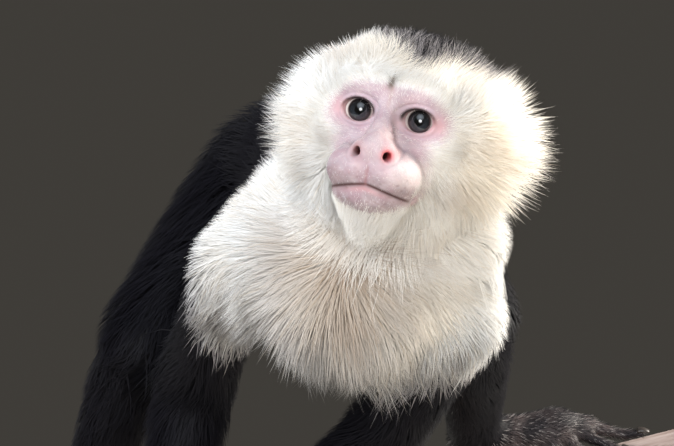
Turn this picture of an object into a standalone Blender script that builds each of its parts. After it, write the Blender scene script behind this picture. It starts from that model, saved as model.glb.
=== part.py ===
"""A life-size still model of a white-faced capuchin, crouching in the fork of a cut branch on a display stand.

Run it with: blender --background --python part.py

Lengths below are millimetres, measured from the point midway between the two eyes: X to the animal's left,
Y backwards (the face looks along -Y), Z up. The finished objects are in metres, and the whole model is moved
so that the world's origin lies under the middle of its bounding box, at the underside of the stand.
The animal's surface is the outside of its coat, out to the tips of the hair.
"""

import math

import bmesh
import bpy
import numpy as np
from mathutils import Matrix, Vector

MM = 0.001
GAP = 0.35  # clearance between two pieces that meet
FAR = 1000.0  # the distance given to points that no shape comes near

# ---------------------------------------------------------------- driving dimensions
HEAD_YAW = math.radians(11)  # the face turns this far towards -X
HEAD_LIFT = math.radians(9)  # and looks up this far
HEAD_ROLL = math.radians(-3.2)  # and tips this far over towards -X
EYE_SPACING = 28.2
EYE_RADIUS = 9.4
EYE_SET_BACK = 8.0  # the eyeball's centre behind the front of the eyes

SHOULDER = {"left": (54, 62, -102), "right": (-54, 62, -102)}
ELBOW = {"left": (33, 122, -177), "right": (-64, 130, -173)}
WRIST = {"left": (-16, 88, -258), "right": (-61, 104, -270)}
ARM_RADII = (22, 21.5, 21.5, 22, 13.5)  # shoulder, elbow, then the forearm's elbow, belly and wrist
HIP = {"left": (20, 222, -84), "right": (-50, 222, -84)}
KNEE = {"left": (62, 116, -110), "right": (-94, 150, -164)}
ANKLE = {"left": (82, 230, -198), "right": (-110, 196, -282)}
LEG_RADII = (41, 26, 23, 22, 14)  # hip, knee, then the shin's knee, calf and ankle

NECK_TOP, NECK_FOOT = (7, 46, -34), (0, 76, -84)
NECK_RADII = (45, 36)
TRUNK = ((0, 54, -88), (-2, 108, -72), (-8, 172, -66), (-14, 226, -76))
TRUNK_RADII = (49, 54, 59, 56)
CHEST_ENDS_AT = (-3, 116, -70)

FORK = (-240, 152, -393)  # where the perch's two limbs part
FEET_LIMB = (FORK, (215, 256, -186))  # the rear limb, which the feet grip
FEET_LIMB_RADII = (28, 20)
HANDS_LIMB = (FORK, (96, 66, -262))  # the front limb, which the hands grip
HANDS_LIMB_RADII = (24, 15)
STEM_END = (-262, 147, -402)

STAND_SIZE = (330, 300, 14)
STAND_CENTRE = (-20, 160)
STAND_TOP = -446.0
ROD_RADIUS = 7.0
ROD_X = (-132, 108)

TAIL_KNOTS = ((-17, 262, -66), (-26, 304, -78), (-48, 336, -120), (-68, 346, -184), (-72, 344, -248))
TAIL_COIL_RADIUS = 34
TAIL_COIL_TURN = math.radians(285)
TAIL_SIDES = 10
TAIL_PIECES = 5
TAIL_RINGS = 6  # rings to each piece


# ---------------------------------------------------------------- shapes as distance fields
def unit(vector):
    vector = np.array(vector, float)
    return vector / np.linalg.norm(vector)


def cone(start, end, start_radius, end_radius, blend=8.0):
    """A limb: the hull of two balls."""
    return {"kind": "cone", "a": np.array(start, float), "b": np.array(end, float),
            "ra": start_radius, "rb": end_radius, "blend": blend}


def egg(centre, radii, blend=8.0, turn=None):
    """An ellipsoid, whose own axes are the columns of turn."""
    return {"kind": "egg", "a": np.array(centre, float), "radii": np.array(radii, float), "blend": blend,
            "turn": np.eye(3) if turn is None else turn}


def hollow(shape):
    """The same shape, cut out of what came before it."""
    return {**shape, "hollow": True}


def sawn(shape):
    """The same cone, cut off flat at its far end."""
    return {**shape, "sawn": True}


def distance(shape, points):
    """How far each point is outside the shape. It is negative inside."""
    offset = points - shape["a"]
    if shape["kind"] == "cone":
        along = shape["b"] - shape["a"]
        share = np.clip(offset @ along / (along @ along), 0, 1)
        nearest = np.linalg.norm(offset - share[..., None] * along, axis=-1)
        outside = nearest - shape["ra"] - share * (shape["rb"] - shape["ra"])
        if shape.get("sawn"):
            outside = np.maximum(outside, (points - shape["b"]) @ unit(along))
        return outside
    local = offset @ shape["turn"]
    scaled = np.linalg.norm(local / shape["radii"], axis=-1)
    steepness = np.linalg.norm(local / shape["radii"] ** 2, axis=-1)
    return scaled * (scaled - 1) / np.maximum(steepness, 1e-9)


def joined_distance(shapes, axes):
    """The distance at each grid point to the shapes, run together smoothly over each one's blend."""
    total = np.full([len(axis) for axis in axes], FAR)
    for shape in shapes:
        low, high = reach(shape, shape["blend"])
        part = tuple(slice(*np.searchsorted(axis, (low[n], high[n]))) for n, axis in enumerate(axes))
        grid = np.meshgrid(*(axis[cut] for axis, cut in zip(axes, part)), indexing="ij")
        new, old = distance(shape, np.stack(grid, axis=-1)), total[part]
        if shape.get("hollow"):
            share = np.maximum(shape["blend"] - np.abs(old + new), 0) / shape["blend"]
            total[part] = np.maximum(old, -new) + share**2 * shape["blend"] / 4
        else:
            share = np.maximum(shape["blend"] - np.abs(old - new), 0) / shape["blend"]
            total[part] = np.minimum(old, new) - share**2 * shape["blend"] / 4
    return total


def reach(shape, margin):
    """The lowest and highest corner of a box round the shape."""
    if shape["kind"] == "cone":
        low = np.minimum(shape["a"] - shape["ra"], shape["b"] - shape["rb"])
        return low - margin, np.maximum(shape["a"] + shape["ra"], shape["b"] + shape["rb"]) + margin
    size = shape["radii"].max() + margin
    return shape["a"] - size, shape["a"] + size


def at_corner(grid, corner, span):
    """The grid's values at one corner of each of its cells, or of its squares where span is 0 along an axis."""
    return grid[tuple(slice(c, size - s + c) for c, s, size in zip(corner, span, grid.shape))]


def without_pinches(values):
    """Fills the places where the surface would touch itself along the edge or at the corner of a cell."""
    values = values.copy()
    square = ((0, 0), (0, 1), (1, 1), (1, 0))
    cube = [(i, j, k) for i in (0, 1) for j in (0, 1) for k in (0, 1)]
    while True:
        inside = values < 0
        fill = np.zeros_like(inside)
        for normal in range(3):
            corners = [tuple(np.insert(pair, normal, 0)) for pair in square]
            span = corners[2]
            a, b, c, d = (at_corner(inside, corner, span) for corner in corners)
            pinched = (a & c & ~b & ~d) | (b & d & ~a & ~c)
            for corner in corners:
                at_corner(fill, corner, span)[...] |= pinched
        count = sum(at_corner(inside, corner, (1, 1, 1)).astype(np.int8) for corner in cube)
        for corner in cube[:4]:
            opposite = tuple(1 - c for c in corner)
            a, b = at_corner(inside, corner, (1, 1, 1)), at_corner(inside, opposite, (1, 1, 1))
            pinched = (a & b & (count == 2)) | (~a & ~b & (count == 6))
            for each in cube:
                at_corner(fill, each, (1, 1, 1))[...] |= pinched
        if not (fill & ~inside).any():
            return values
        values[fill & ~inside] = -0.3


def surface_nets(values, axes):
    """The closed surface where values is zero, as points and quads facing outwards."""
    inside = values < 0
    shape = np.array(values.shape)
    corners = [(i, j, k) for i in (0, 1) for j in (0, 1) for k in (0, 1)]
    count = sum(
        inside[i : shape[0] - 1 + i, j : shape[1] - 1 + j, k : shape[2] - 1 + k].astype(np.int8)
        for i, j, k in corners
    )
    cells = np.argwhere((count > 0) & (count < 8))
    number = np.full(shape - 1, -1, np.int64)
    number[tuple(cells.T)] = np.arange(len(cells))
    total, hits = np.zeros((len(cells), 3)), np.zeros(len(cells))
    for axis in range(3):
        side, other = (axis + 1) % 3, (axis + 2) % 3
        for u, v in ((0, 0), (0, 1), (1, 0), (1, 1)):
            low = cells.copy()
            low[:, side] += u
            low[:, other] += v
            high = low.copy()
            high[:, axis] += 1
            first, last = values[tuple(low.T)], values[tuple(high.T)]
            crossed = (first < 0) != (last < 0)
            share = np.where(crossed, first / np.where(crossed, first - last, 1), 0)
            point = np.stack([axes[n][low[:, n]] for n in range(3)], axis=1)
            point[:, axis] += share * (axes[axis][high[:, axis]] - axes[axis][low[:, axis]])
            total += point * crossed[:, None]
            hits += crossed
    faces = []
    for axis in range(3):
        side, other = np.eye(3, dtype=int)[(axis + 1) % 3], np.eye(3, dtype=int)[(axis + 2) % 3]
        low_side = np.take(inside, range(shape[axis] - 1), axis)
        high_side = np.take(inside, range(1, shape[axis]), axis)
        edges = np.argwhere(low_side != high_side)
        ring = [number[tuple((edges - move).T)] for move in (side + other, other, 0 * side, side)]
        quads = np.stack(ring, axis=1)
        leaving = low_side[tuple(edges.T)]
        faces.append(np.where(leaving[:, None], quads, quads[:, ::-1]))
    return total / hits[:, None], np.concatenate(faces)


def mesh_of(name, shapes, cell, triangles):
    """The joined shapes as one closed mesh in metres, with about that many triangles."""
    boxes = [reach(shape, 3 * cell) for shape in shapes if not shape.get("hollow")]
    low, high = np.min([box[0] for box in boxes], axis=0), np.max([box[1] for box in boxes], axis=0)
    axes = [np.arange(low[n], high[n] + cell, cell) for n in range(3)]
    points, quads = surface_nets(without_pinches(joined_distance(shapes, axes)), axes)
    mesh = bpy.data.meshes.new(name)
    mesh.from_pydata((points * MM).tolist(), [], quads.tolist())
    keep_largest(mesh)
    helper = bpy.data.objects.new(name + "_fine", mesh)
    bpy.context.scene.collection.objects.link(helper)
    thin = helper.modifiers.new("thin_out", "DECIMATE")
    thin.ratio = min(1.0, triangles / (2 * len(mesh.polygons)))
    bpy.context.view_layer.update()
    made = bpy.data.meshes.new_from_object(helper.evaluated_get(bpy.context.evaluated_depsgraph_get()))
    bpy.data.objects.remove(helper)
    made.name = name
    return made


def keep_largest(mesh):
    """Removes any crumb that the grid left beside the main surface."""
    bm = bmesh.new()
    bm.from_mesh(mesh)
    unseen, islands = set(bm.verts), []
    while unseen:
        front = [unseen.pop()]
        island = list(front)
        while front:
            near = {e.other_vert(v) for v in front for e in v.link_edges} & unseen
            unseen -= near
            front = list(near)
            island += front
        islands.append(island)
    islands.sort(key=len)
    bmesh.ops.delete(bm, geom=[v for island in islands[:-1] for v in island], context="VERTS")
    bm.to_mesh(mesh)
    bm.free()


# ---------------------------------------------------------------- objects
def material(name, colour, roughness, metallic=0.0):
    made = bpy.data.materials.new(name)
    made.use_nodes = True
    shader = made.node_tree.nodes["Principled BSDF"]
    shader.inputs["Base Color"].default_value = (*colour, 1)
    shader.inputs["Roughness"].default_value = roughness
    shader.inputs["Metallic"].default_value = metallic
    return made


def place(name, mesh, finish):
    obj = bpy.data.objects.new(name, mesh)
    mesh.materials.clear()
    mesh.materials.append(finish)
    bpy.context.scene.collection.objects.link(obj)
    obj.parent = bpy.data.objects["capuchin"]
    return obj


def part_at(mesh, cuts):
    """A copy of the mesh on the far side of each cut, a (point, direction) in millimetres, closed with a flat face."""
    bm = bmesh.new()
    bm.from_mesh(mesh)
    for point, direction in cuts:
        direction = Vector(direction).normalized()
        start = Vector(point) * MM + direction * (GAP / 2 * MM)
        everything = bm.verts[:] + bm.edges[:] + bm.faces[:]
        bmesh.ops.bisect_plane(bm, geom=everything, plane_co=start, plane_no=direction, clear_inner=True)
        bmesh.ops.holes_fill(bm, edges=[e for e in bm.edges if e.is_boundary])
    bmesh.ops.triangulate(bm, faces=bm.faces[:])
    bmesh.ops.recalc_face_normals(bm, faces=bm.faces[:])
    made = bpy.data.meshes.new(mesh.name)
    bm.to_mesh(made)
    bm.free()
    keep_largest(made)
    return made


def box_of(mesh):
    points = np.array([v.co for v in mesh.vertices])
    return points.min(axis=0), points.max(axis=0)


def grown(mesh):
    """A copy of the mesh, larger by the gap all round, to cut with."""
    bm = bmesh.new()
    bm.from_mesh(mesh)
    bm.normal_update()
    moved = [v.co + v.normal * (GAP * MM * min(v.calc_shell_factor(), 3.0)) for v in bm.verts]
    for vertex, point in zip(bm.verts, moved):
        vertex.co = point
    made = bpy.data.meshes.new(mesh.name + "_grown")
    bm.to_mesh(made)
    bm.free()
    return made


def add(name, mesh, finish, beside=()):
    """Makes a node of the mesh, cut clear of every node made before it except those beside it."""
    low, high = box_of(mesh)
    helper = place(name + "_whole", mesh, finish)
    cutters = []
    for other, shape in CUTTERS.items():
        other_low, other_high = box_of(shape)
        if other in beside or (low > other_high).any() or (high < other_low).any():
            continue
        cutter = bpy.data.objects.new("cutter_" + other, shape)
        bpy.context.scene.collection.objects.link(cutter)
        cutters.append(cutter)
        cut = helper.modifiers.new("clear_of_" + other, "BOOLEAN")
        cut.operation = "DIFFERENCE"
        cut.object = cutter
    bpy.context.view_layer.update()
    graph = bpy.context.evaluated_depsgraph_get()
    cut_mesh = bpy.data.meshes.new_from_object(helper.evaluated_get(graph))
    for spare in (*cutters, helper):
        bpy.data.objects.remove(spare)
    keep_largest(cut_mesh)
    obj = place(name, cut_mesh, finish)
    cut_mesh.name = name
    CUTTERS[name] = grown(mesh)
    return obj


def bend_cut(before, joint, after):
    """The plane through a joint that halves its bend, facing the far end of the limb."""
    joint = np.array(joint, float)
    return joint, unit(unit(after - joint) - unit(before - joint))


# ---------------------------------------------------------------- head
def head_turn():
    """The head's own right, back and up, as the columns of a matrix."""
    yaw = Matrix.Rotation(-HEAD_YAW, 3, "Z")
    roll = Matrix.Rotation(HEAD_ROLL, 3, "Y")
    lift = Matrix.Rotation(-HEAD_LIFT, 3, "X")
    return np.array(yaw @ roll @ lift)


def in_head(point):
    return head_turn() @ np.array(point, float)


def head_egg(centre, radii, blend=6.0):
    return egg(in_head(centre), radii, blend, head_turn())


def head_cone(start, end, start_radius, end_radius, blend=5.0):
    return cone(in_head(start), in_head(end), start_radius, end_radius, blend)


def both_sides(make, centre, *rest, **more):
    """The same shape on the head's two sides."""
    x, y, z = centre
    return [make((side * x, y, z), *rest, **more) for side in (-1, 1)]


def head_shapes():
    half = EYE_SPACING / 2
    lids = EYE_RADIUS + 1.6
    shapes = [head_egg((0, 37, 5), (44, 42, 37))]  # crown
    shapes += [head_egg((-20, 37, -13), (44, 30, 38), blend=14),  # cheek ruff, fuller on the left
               head_egg((28, 37, -7), (47, 30, 40), blend=14),
               head_egg((-37, 40, 8), (17, 16, 14), blend=10),
               head_egg((48, 37, 13), (19, 20, 13), blend=8)]
    shapes += [
        head_egg((0, 24, -26), (34, 26, 30), blend=12),  # throat hair under the jaw
        head_cone((-17, 4, 13), (17, 4, 13), 7, 7, blend=8),  # brow
        head_egg((0, -5, -27), (22.5, 20, 13), blend=7),  # upper lip
        head_egg((0, -4, -38), (18, 18, 9), blend=3),  # chin
        head_egg((0, -1, -50), (14, 12, 12), blend=5),  # the lock of hair under it
        head_cone((0, 0, 2), (0, -15, -14), 6, 6.5, blend=6),  # bridge of the nose
        head_egg((0, -19, -17), (9.5, 6, 5.5), blend=4),  # nose
    ]
    shapes += [hollow(s) for s in both_sides(head_egg, (half + 1, -6, -1), (10, 8, 8), blend=6)]
    shapes += both_sides(head_egg, (half, EYE_SET_BACK, 0), (lids, lids, lids), blend=4)
    shapes += [hollow(s) for s in both_sides(head_egg, (half, -5, 0), (7.5, 8, 5.2), blend=1.5)]
    shapes += [hollow(s) for s in both_sides(head_egg, (6.8, -25, -19), (1.8, 4, 2.6), blend=1.5)]
    shapes += [hollow(head_cone((x, -19 + abs(x) * 0.62, -33.5 - abs(x) * 0.22),
                                (x + side * 9, -19 + abs(x + side * 9) * 0.62, -33.5 - abs(x + side * 9) * 0.22),
                                1.0, 1.0, blend=1.5))
               for x, side in ((0, 1), (0, -1), (9, 1), (-9, -1))]
    return shapes


def make_head():
    for side, sign in (("left", 1), ("right", -1)):
        mesh = bpy.data.meshes.new("eye_" + side)
        bm = bmesh.new()
        bmesh.ops.create_uvsphere(bm, u_segments=14, v_segments=8, radius=EYE_RADIUS * MM)
        centre = in_head((sign * EYE_SPACING / 2, EYE_SET_BACK, 0))
        bmesh.ops.translate(bm, verts=bm.verts, vec=Vector(centre) * MM)
        bm.to_mesh(mesh)
        bm.free()
        add("eye_" + side, mesh, EYE)
    add("head", mesh_of("head", head_shapes(), 2.0, 1100), WHITE)
    for side, sign in (("left", 1), ("right", -1)):
        outwards = Matrix.Rotation(sign * math.radians(35), 3, "Z")
        ear = egg(in_head((sign * 47, 67, -4)), (10, 5.5, 16), 4, head_turn() @ np.array(outwards))
        add("ear_" + side, mesh_of("ear_" + side, [ear], 2.0, 120), PINK)


# ---------------------------------------------------------------- trunk
def trunk_shapes():
    shapes = [cone(TRUNK[n], TRUNK[n + 1], TRUNK_RADII[n], TRUNK_RADII[n + 1], blend=16) for n in range(3)]
    for side in ("left", "right"):
        x, y, z = SHOULDER[side]
        shapes.append(cone((x * 0.8, y + 8, z + 22), (x * 0.93, y + 2, z + 4), 26, 28, blend=18))
    shapes.append(egg((46, 52, -58), (26, 28, 24), blend=16))  # hair pushed up by the turned head
    shapes.append(egg((0, 36, -112), (42, 26, 24), blend=16))  # the bib's hanging hair
    return shapes


def make_trunk():
    add("neck", mesh_of("neck", [cone(NECK_TOP, NECK_FOOT, *NECK_RADII)], 5.0, 180), WHITE)
    whole = mesh_of("trunk", trunk_shapes(), 5.0, 600)
    rearwards = np.array(TRUNK[2], float) - np.array(TRUNK[1], float)
    add("chest", part_at(whole, [(CHEST_ENDS_AT, -rearwards)]), WHITE)
    add("abdomen", part_at(whole, [(CHEST_ENDS_AT, rearwards)]), BLACK, beside=("chest",))


# ---------------------------------------------------------------- hands and feet
class Grip:
    """A place on a limb of the fork, and points round it: offset along the limb, angle 90 on top and 0 in front."""

    def __init__(self, limb, radii, x):
        start, end = (np.array(p, float) for p in limb)
        share = (x - start[0]) / (end[0] - start[0])
        self.centre = start + share * (end - start)
        self.radius = radii[0] + share * (radii[1] - radii[0])
        self.along = unit(end - start)
        front = np.array((0, -1, 0)) + self.along * self.along[1]
        self.front = unit(front)
        self.up = np.cross(self.front, self.along)
        if self.up[2] < 0:
            self.up = -self.up

    def at(self, offset, angle, height):
        turn = math.radians(angle)
        out = math.cos(turn) * self.front + math.sin(turn) * self.up
        return self.centre + offset * self.along + (self.radius + height) * out


def digits(grip, root, spread, angles, thickness, shift, slant=0.0, arch=0.0, fan=0.0):
    """Four digits that lie over the branch and curl down its front, each joint slant further along the branch."""
    shapes = []
    lengths = (0.86, 1.0, 0.97, 0.8)
    lifts = (arch, arch * 0.4, 0, 0)
    for number, length in enumerate(lengths):
        offset = spread * (number - 1.5)
        bends = [angles[0] + (angle - angles[0]) * length * (1 - fan * number) for angle in angles]
        sizes = [thickness * (1 - 0.1 * n) for n in range(len(angles))]
        joints = [grip.at(shift + slant * n + offset * (1 + 0.12 * n), bends[n], sizes[n] + lifts[n])
                  for n in range(len(angles))]
        shapes.append(cone(root, joints[0], thickness * 1.9, thickness * 1.25, blend=5))
        shapes += [cone(joints[n], joints[n + 1], sizes[n], sizes[n + 1], blend=1.6)
                   for n in range(len(angles) - 1)]
    return shapes


def thumb(grip, root, side, offsets, angles, thickness, arch=0.0):
    """The opposed digit, set apart on the inner side."""
    joints = [grip.at(side * offset, angle, thickness + lift)
              for offset, angle, lift in zip(offsets, angles, (arch, arch * 0.4, 0))]
    shapes = [cone(root, joints[0], thickness * 1.5, thickness * 1.15, blend=5)]
    shapes += [cone(joints[n], joints[n + 1], thickness * (1.1 - 0.1 * n), thickness * (1.0 - 0.1 * n), blend=2)
               for n in range(len(joints) - 1)]
    return shapes


HAND_X = {"left": -20, "right": -61}
FOOT_X = {"left": 139, "right": -130}
INNER = {"left": -1, "right": 1}


def hand_shapes(side):
    grip = Grip(HANDS_LIMB, HANDS_LIMB_RADII, HAND_X[side])
    palm = grip.at(0, 100, 9)
    inner = INNER[side]
    shapes = [cone(WRIST[side], palm, 11, 10, blend=6)]
    shapes += digits(grip, palm, 8.4, (72, 34, 0, -30), 4.3, -inner * 3)
    shapes += thumb(grip, palm, inner, (17, 22, 25), (78, 46, 18), 4.2)
    return shapes


def foot_shapes(side):
    grip = Grip(FEET_LIMB, FEET_LIMB_RADII, FOOT_X[side])
    inner = INNER[side]
    heel = grip.at(inner * 30, 118, 11)
    sole = grip.at(0, 96, 14)
    shapes = [cone(ANKLE[side], heel, 12, 10, blend=6), cone(heel, sole, 11, 12, blend=6),
              cone(ANKLE[side], sole, 11, 10, blend=8)]
    shapes += digits(grip, sole, 9, (96, 70, 40, 8), 4.9, -inner * 4, -inner * 7, arch=8, fan=0.25)
    shapes += thumb(grip, sole, inner, (20, 26, 29), (100, 70, 40), 5.2, arch=8)
    return shapes


def make_perch():
    """The forked branch, sawn off flat at its three ends: its main length, and the limb that forks off in front."""
    main = [sawn(cone(*FEET_LIMB, *FEET_LIMB_RADII)),
            sawn(cone(FORK, STEM_END, FEET_LIMB_RADII[0], FEET_LIMB_RADII[0] + 1, blend=10))]
    fork = [sawn(cone(*HANDS_LIMB, *HANDS_LIMB_RADII))]
    add("perch_branch", mesh_of("perch_branch", main, 3.5, 300), WOOD)
    add("perch_fork", mesh_of("perch_fork", fork, 3.5, 160), WOOD)


# ---------------------------------------------------------------- limbs
def make_limb(side, names, joints, radii, far_shapes, triangles):
    """One arm or leg: its upper and lower lengths, and its hand or foot, parted at the two joints."""
    root, bend, end = (np.array(joint[side], float) for joint in joints)
    belly = bend + (end - bend) * 0.3
    upper = [cone(root, bend, radii[0], radii[1])]
    lower = [cone(bend, belly, radii[2], radii[3]), cone(belly, end, radii[3], radii[4])]
    first = bend_cut(root, bend, end)
    last = end, unit(unit(far_shapes[0]["b"] - end) - unit(bend - end))
    upper_name, lower_name, far_name = (name + "_" + side for name in names)
    upper_mesh = part_at(mesh_of(upper_name, upper, 3.0, triangles[0]), [(first[0], -first[1])])
    lower_mesh = part_at(mesh_of(lower_name, lower, 3.0, triangles[1]), [first, (last[0], -last[1])])
    far_mesh = part_at(mesh_of(far_name, far_shapes, 1.4, triangles[2]), [last])
    add(upper_name, upper_mesh, BLACK)
    add(lower_name, lower_mesh, BLACK, beside=(upper_name,))
    add(far_name, far_mesh, BLACK, beside=(lower_name,))


# ---------------------------------------------------------------- tail
def tail_path(count):
    """Points and radii: out from the rump, down behind the right leg, and round in a coil at the tip."""
    hang = np.array(TAIL_KNOTS[-1], float)
    line = [np.array(knot, float) for knot in TAIL_KNOTS]
    for step in range(1, 25):
        turn, size = TAIL_COIL_TURN * step / 24, TAIL_COIL_RADIUS * (1 - 0.38 * step / 24)
        line.append(hang + (0.75 * step, size * math.cos(turn) - TAIL_COIL_RADIUS, -size * math.sin(turn)))
    line = np.array(line)
    lengths = np.append(0, np.cumsum(np.linalg.norm(np.diff(line, axis=0), axis=1)))
    even = np.linspace(0, lengths[-1], 400)
    dense = np.stack([np.interp(even, lengths, line[:, n]) for n in range(3)], axis=1)
    for _ in range(60):
        dense[1:-1] = (dense[:-2] + dense[1:-1] + dense[2:]) / 3
    steps = np.linspace(0, len(dense) - 1, count).round().astype(int)
    return dense[steps], 20.5 - 9.5 * np.linspace(0, 1, count) ** 1.2


def tube(name, points, headings, radii, round_end):
    """A closed tube along points, with flat ends, or with its last end drawn to a blunt point."""
    bm = bmesh.new()
    side = np.array((1.0, 0, 0))
    rings = []
    for point, ahead, radius in zip(points, headings, radii):
        side = unit(side - ahead * (side @ ahead))
        up = np.cross(ahead, side)
        turns = [2 * math.pi * k / TAIL_SIDES for k in range(TAIL_SIDES)]
        rings.append([bm.verts.new((point + radius * (math.cos(t) * side + math.sin(t) * up)) * MM)
                      for t in turns])
    for first, second in zip(rings, rings[1:]):
        for k in range(TAIL_SIDES):
            after = (k + 1) % TAIL_SIDES
            bm.faces.new((first[k], first[after], second[after], second[k]))
    bm.faces.new(rings[0][::-1])
    if round_end:
        tip = bm.verts.new((points[-1] + headings[-1] * radii[-1] * 1.6) * MM)
        for k in range(TAIL_SIDES):
            bm.faces.new((rings[-1][k], rings[-1][(k + 1) % TAIL_SIDES], tip))
    else:
        bm.faces.new(rings[-1])
    bmesh.ops.recalc_face_normals(bm, faces=bm.faces[:])
    mesh = bpy.data.meshes.new(name)
    bm.to_mesh(mesh)
    bm.free()
    return mesh


def make_tail():
    points, radii = tail_path(TAIL_PIECES * TAIL_RINGS + 1)
    headings = np.gradient(points, axis=0)
    headings /= np.linalg.norm(headings, axis=1, keepdims=True)
    for n in range(TAIL_PIECES):
        stretch = slice(n * TAIL_RINGS, (n + 1) * TAIL_RINGS + 1)
        line = points[stretch].copy()
        if n:
            line[0] += headings[stretch.start] * GAP
        mesh = tube(f"tail_{n + 1}", line, headings[stretch], radii[stretch], n == TAIL_PIECES - 1)
        add(f"tail_{n + 1}", mesh, BLACK, beside=(f"tail_{n}",))


# ---------------------------------------------------------------- stand
def make_stand():
    base = bpy.data.meshes.new("stand_base")
    bm = bmesh.new()
    bmesh.ops.create_cube(bm, size=1.0)
    bmesh.ops.scale(bm, vec=Vector(STAND_SIZE) * MM, verts=bm.verts)
    bmesh.ops.translate(bm, vec=Vector((*STAND_CENTRE, STAND_TOP - STAND_SIZE[2] / 2)) * MM, verts=bm.verts)
    upright = [e for e in bm.edges if abs(e.verts[0].co.z - e.verts[1].co.z) > STAND_SIZE[2] / 2 * MM]
    bmesh.ops.bevel(bm, geom=upright, offset=22 * MM, segments=5, affect="EDGES", profile=0.5)
    bm.to_mesh(base)
    bm.free()
    add("stand_base", base, WOOD)
    for number, x in enumerate(ROD_X):
        grip = Grip(FEET_LIMB, FEET_LIMB_RADII, x)
        bottom = STAND_TOP + GAP
        height = grip.centre[2] - bottom
        mesh = bpy.data.meshes.new("rod")
        bm = bmesh.new()
        bmesh.ops.create_cone(bm, cap_ends=True, segments=20, radius1=ROD_RADIUS * MM, radius2=ROD_RADIUS * MM,
                              depth=height * MM)
        middle = Vector((x, grip.centre[1], bottom + height / 2)) * MM
        bmesh.ops.translate(bm, vec=middle, verts=bm.verts)
        bm.to_mesh(mesh)
        bm.free()
        add(f"stand_rod_{number + 1}", mesh, STEEL)


def centre_over_origin():
    """Moves the whole model so that its bounding box stands on the origin."""
    bpy.context.view_layer.update()
    graph = bpy.context.evaluated_depsgraph_get()
    corners = []
    for obj in bpy.context.scene.objects:
        if obj.type == "MESH" and not obj.hide_render:
            mesh = obj.evaluated_get(graph).to_mesh()
            flat = np.empty(len(mesh.vertices) * 3, np.float32)
            mesh.vertices.foreach_get("co", flat)
            corners.append(flat.reshape(-1, 3))
            obj.evaluated_get(graph).to_mesh_clear()
    corners = np.concatenate(corners)
    low, high = corners.min(axis=0), corners.max(axis=0)
    root = bpy.data.objects["capuchin"]
    root.location = (-(low[0] + high[0]) / 2, -(low[1] + high[1]) / 2, -low[2])


for old in list(bpy.data.objects):
    bpy.data.objects.remove(old)
bpy.context.scene.collection.objects.link(bpy.data.objects.new("capuchin", None))

WHITE = material("white_coat", (0.86, 0.80, 0.68), 0.85)
BLACK = material("black_coat", (0.022, 0.019, 0.022), 0.8)
PINK = material("bare_skin", (0.80, 0.56, 0.52), 0.55)
EYE = material("eye", (0.03, 0.02, 0.015), 0.1)
WOOD = material("branch_wood", (0.50, 0.42, 0.34), 0.8)
STEEL = material("rod_steel", (0.35, 0.35, 0.36), 0.35, 1.0)

CUTTERS = {}  # each node's shape, a little enlarged, in the order they were made

make_head()
make_trunk()
make_perch()
for side in ("left", "right"):
    make_limb(side, ("upper_arm", "forearm", "hand"), (SHOULDER, ELBOW, WRIST), ARM_RADII,
              hand_shapes(side), (110, 100, 400))
for side in ("left", "right"):
    make_limb(side, ("thigh", "shin", "foot"), (HIP, KNEE, ANKLE), LEG_RADII,
              foot_shapes(side), (140, 120, 430))
make_tail()
make_stand()
centre_over_origin()
for obj in bpy.context.scene.objects:
    if obj.type == "MESH" and not obj.hide_render:
        obj.data.shade_smooth()
        obj.data.set_sharp_from_angle(angle=math.radians(50))
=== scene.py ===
"""The looks of a life-size model of a white-faced capuchin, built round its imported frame.

Lengths are millimetres from the point midway between the two eyes, unless said otherwise: X to the animal's left,
Y backwards (the face looks along -Y), Z up. Meshes are moved into the frame, in metres, when they are made.
"""

import math

import bmesh
import bpy
import numpy as np
from mathutils import Matrix, Vector, kdtree


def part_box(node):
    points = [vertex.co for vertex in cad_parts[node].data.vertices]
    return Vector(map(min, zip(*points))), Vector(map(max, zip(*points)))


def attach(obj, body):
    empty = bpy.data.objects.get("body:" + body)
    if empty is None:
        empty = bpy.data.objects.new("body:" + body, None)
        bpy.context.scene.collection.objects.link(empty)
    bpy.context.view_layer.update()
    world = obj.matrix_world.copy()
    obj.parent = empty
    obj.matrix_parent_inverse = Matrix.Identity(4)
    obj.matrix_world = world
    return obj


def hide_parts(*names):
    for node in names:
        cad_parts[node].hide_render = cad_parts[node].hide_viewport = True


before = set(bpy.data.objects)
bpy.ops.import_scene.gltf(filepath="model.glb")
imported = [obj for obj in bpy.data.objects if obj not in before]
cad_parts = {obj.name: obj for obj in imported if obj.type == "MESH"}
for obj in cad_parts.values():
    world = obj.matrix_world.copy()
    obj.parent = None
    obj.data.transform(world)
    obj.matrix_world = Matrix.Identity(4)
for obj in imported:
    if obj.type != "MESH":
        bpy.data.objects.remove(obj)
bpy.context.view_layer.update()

MM = 0.001
FAR = 1000.0  # the distance from a shape where nothing is worked out
NEARBY = 45.0  # how far round a shape its distance is worked out
TUFTS = 1.0  # the share of the tufts that is made
COARSE, FINE = 1.9, 0.64  # the skin's grid, on the body and on the face
LOCK, PULL = 26, 0.8  # tufts that lean together, and how far
BEND_AT, BEND_RISE = 0.42, 0.30  # where a tuft bends: the share of the way to its tip, and of its height above that
ROOT_DEPTH = 0.3  # how far under the skin a tuft starts
DEEPEST = 48  # the most that the coat stands off the skin
BARE_DENSITY, EDGE_DENSITY = 1.7, 2.0  # tufts to the square millimetre: on the bare face, and more at its edge
LASH_DENSITY, BRISTLE_DENSITY = 3.0, 1.3
COAT_PIECE = 185000  # the most triangles in one piece of the coat
TWO_LENGTHS, THREE_LENGTHS = (8.5, 11.5), (25, 46)  # how long a white and a black tuft are that have two, or three

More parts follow.
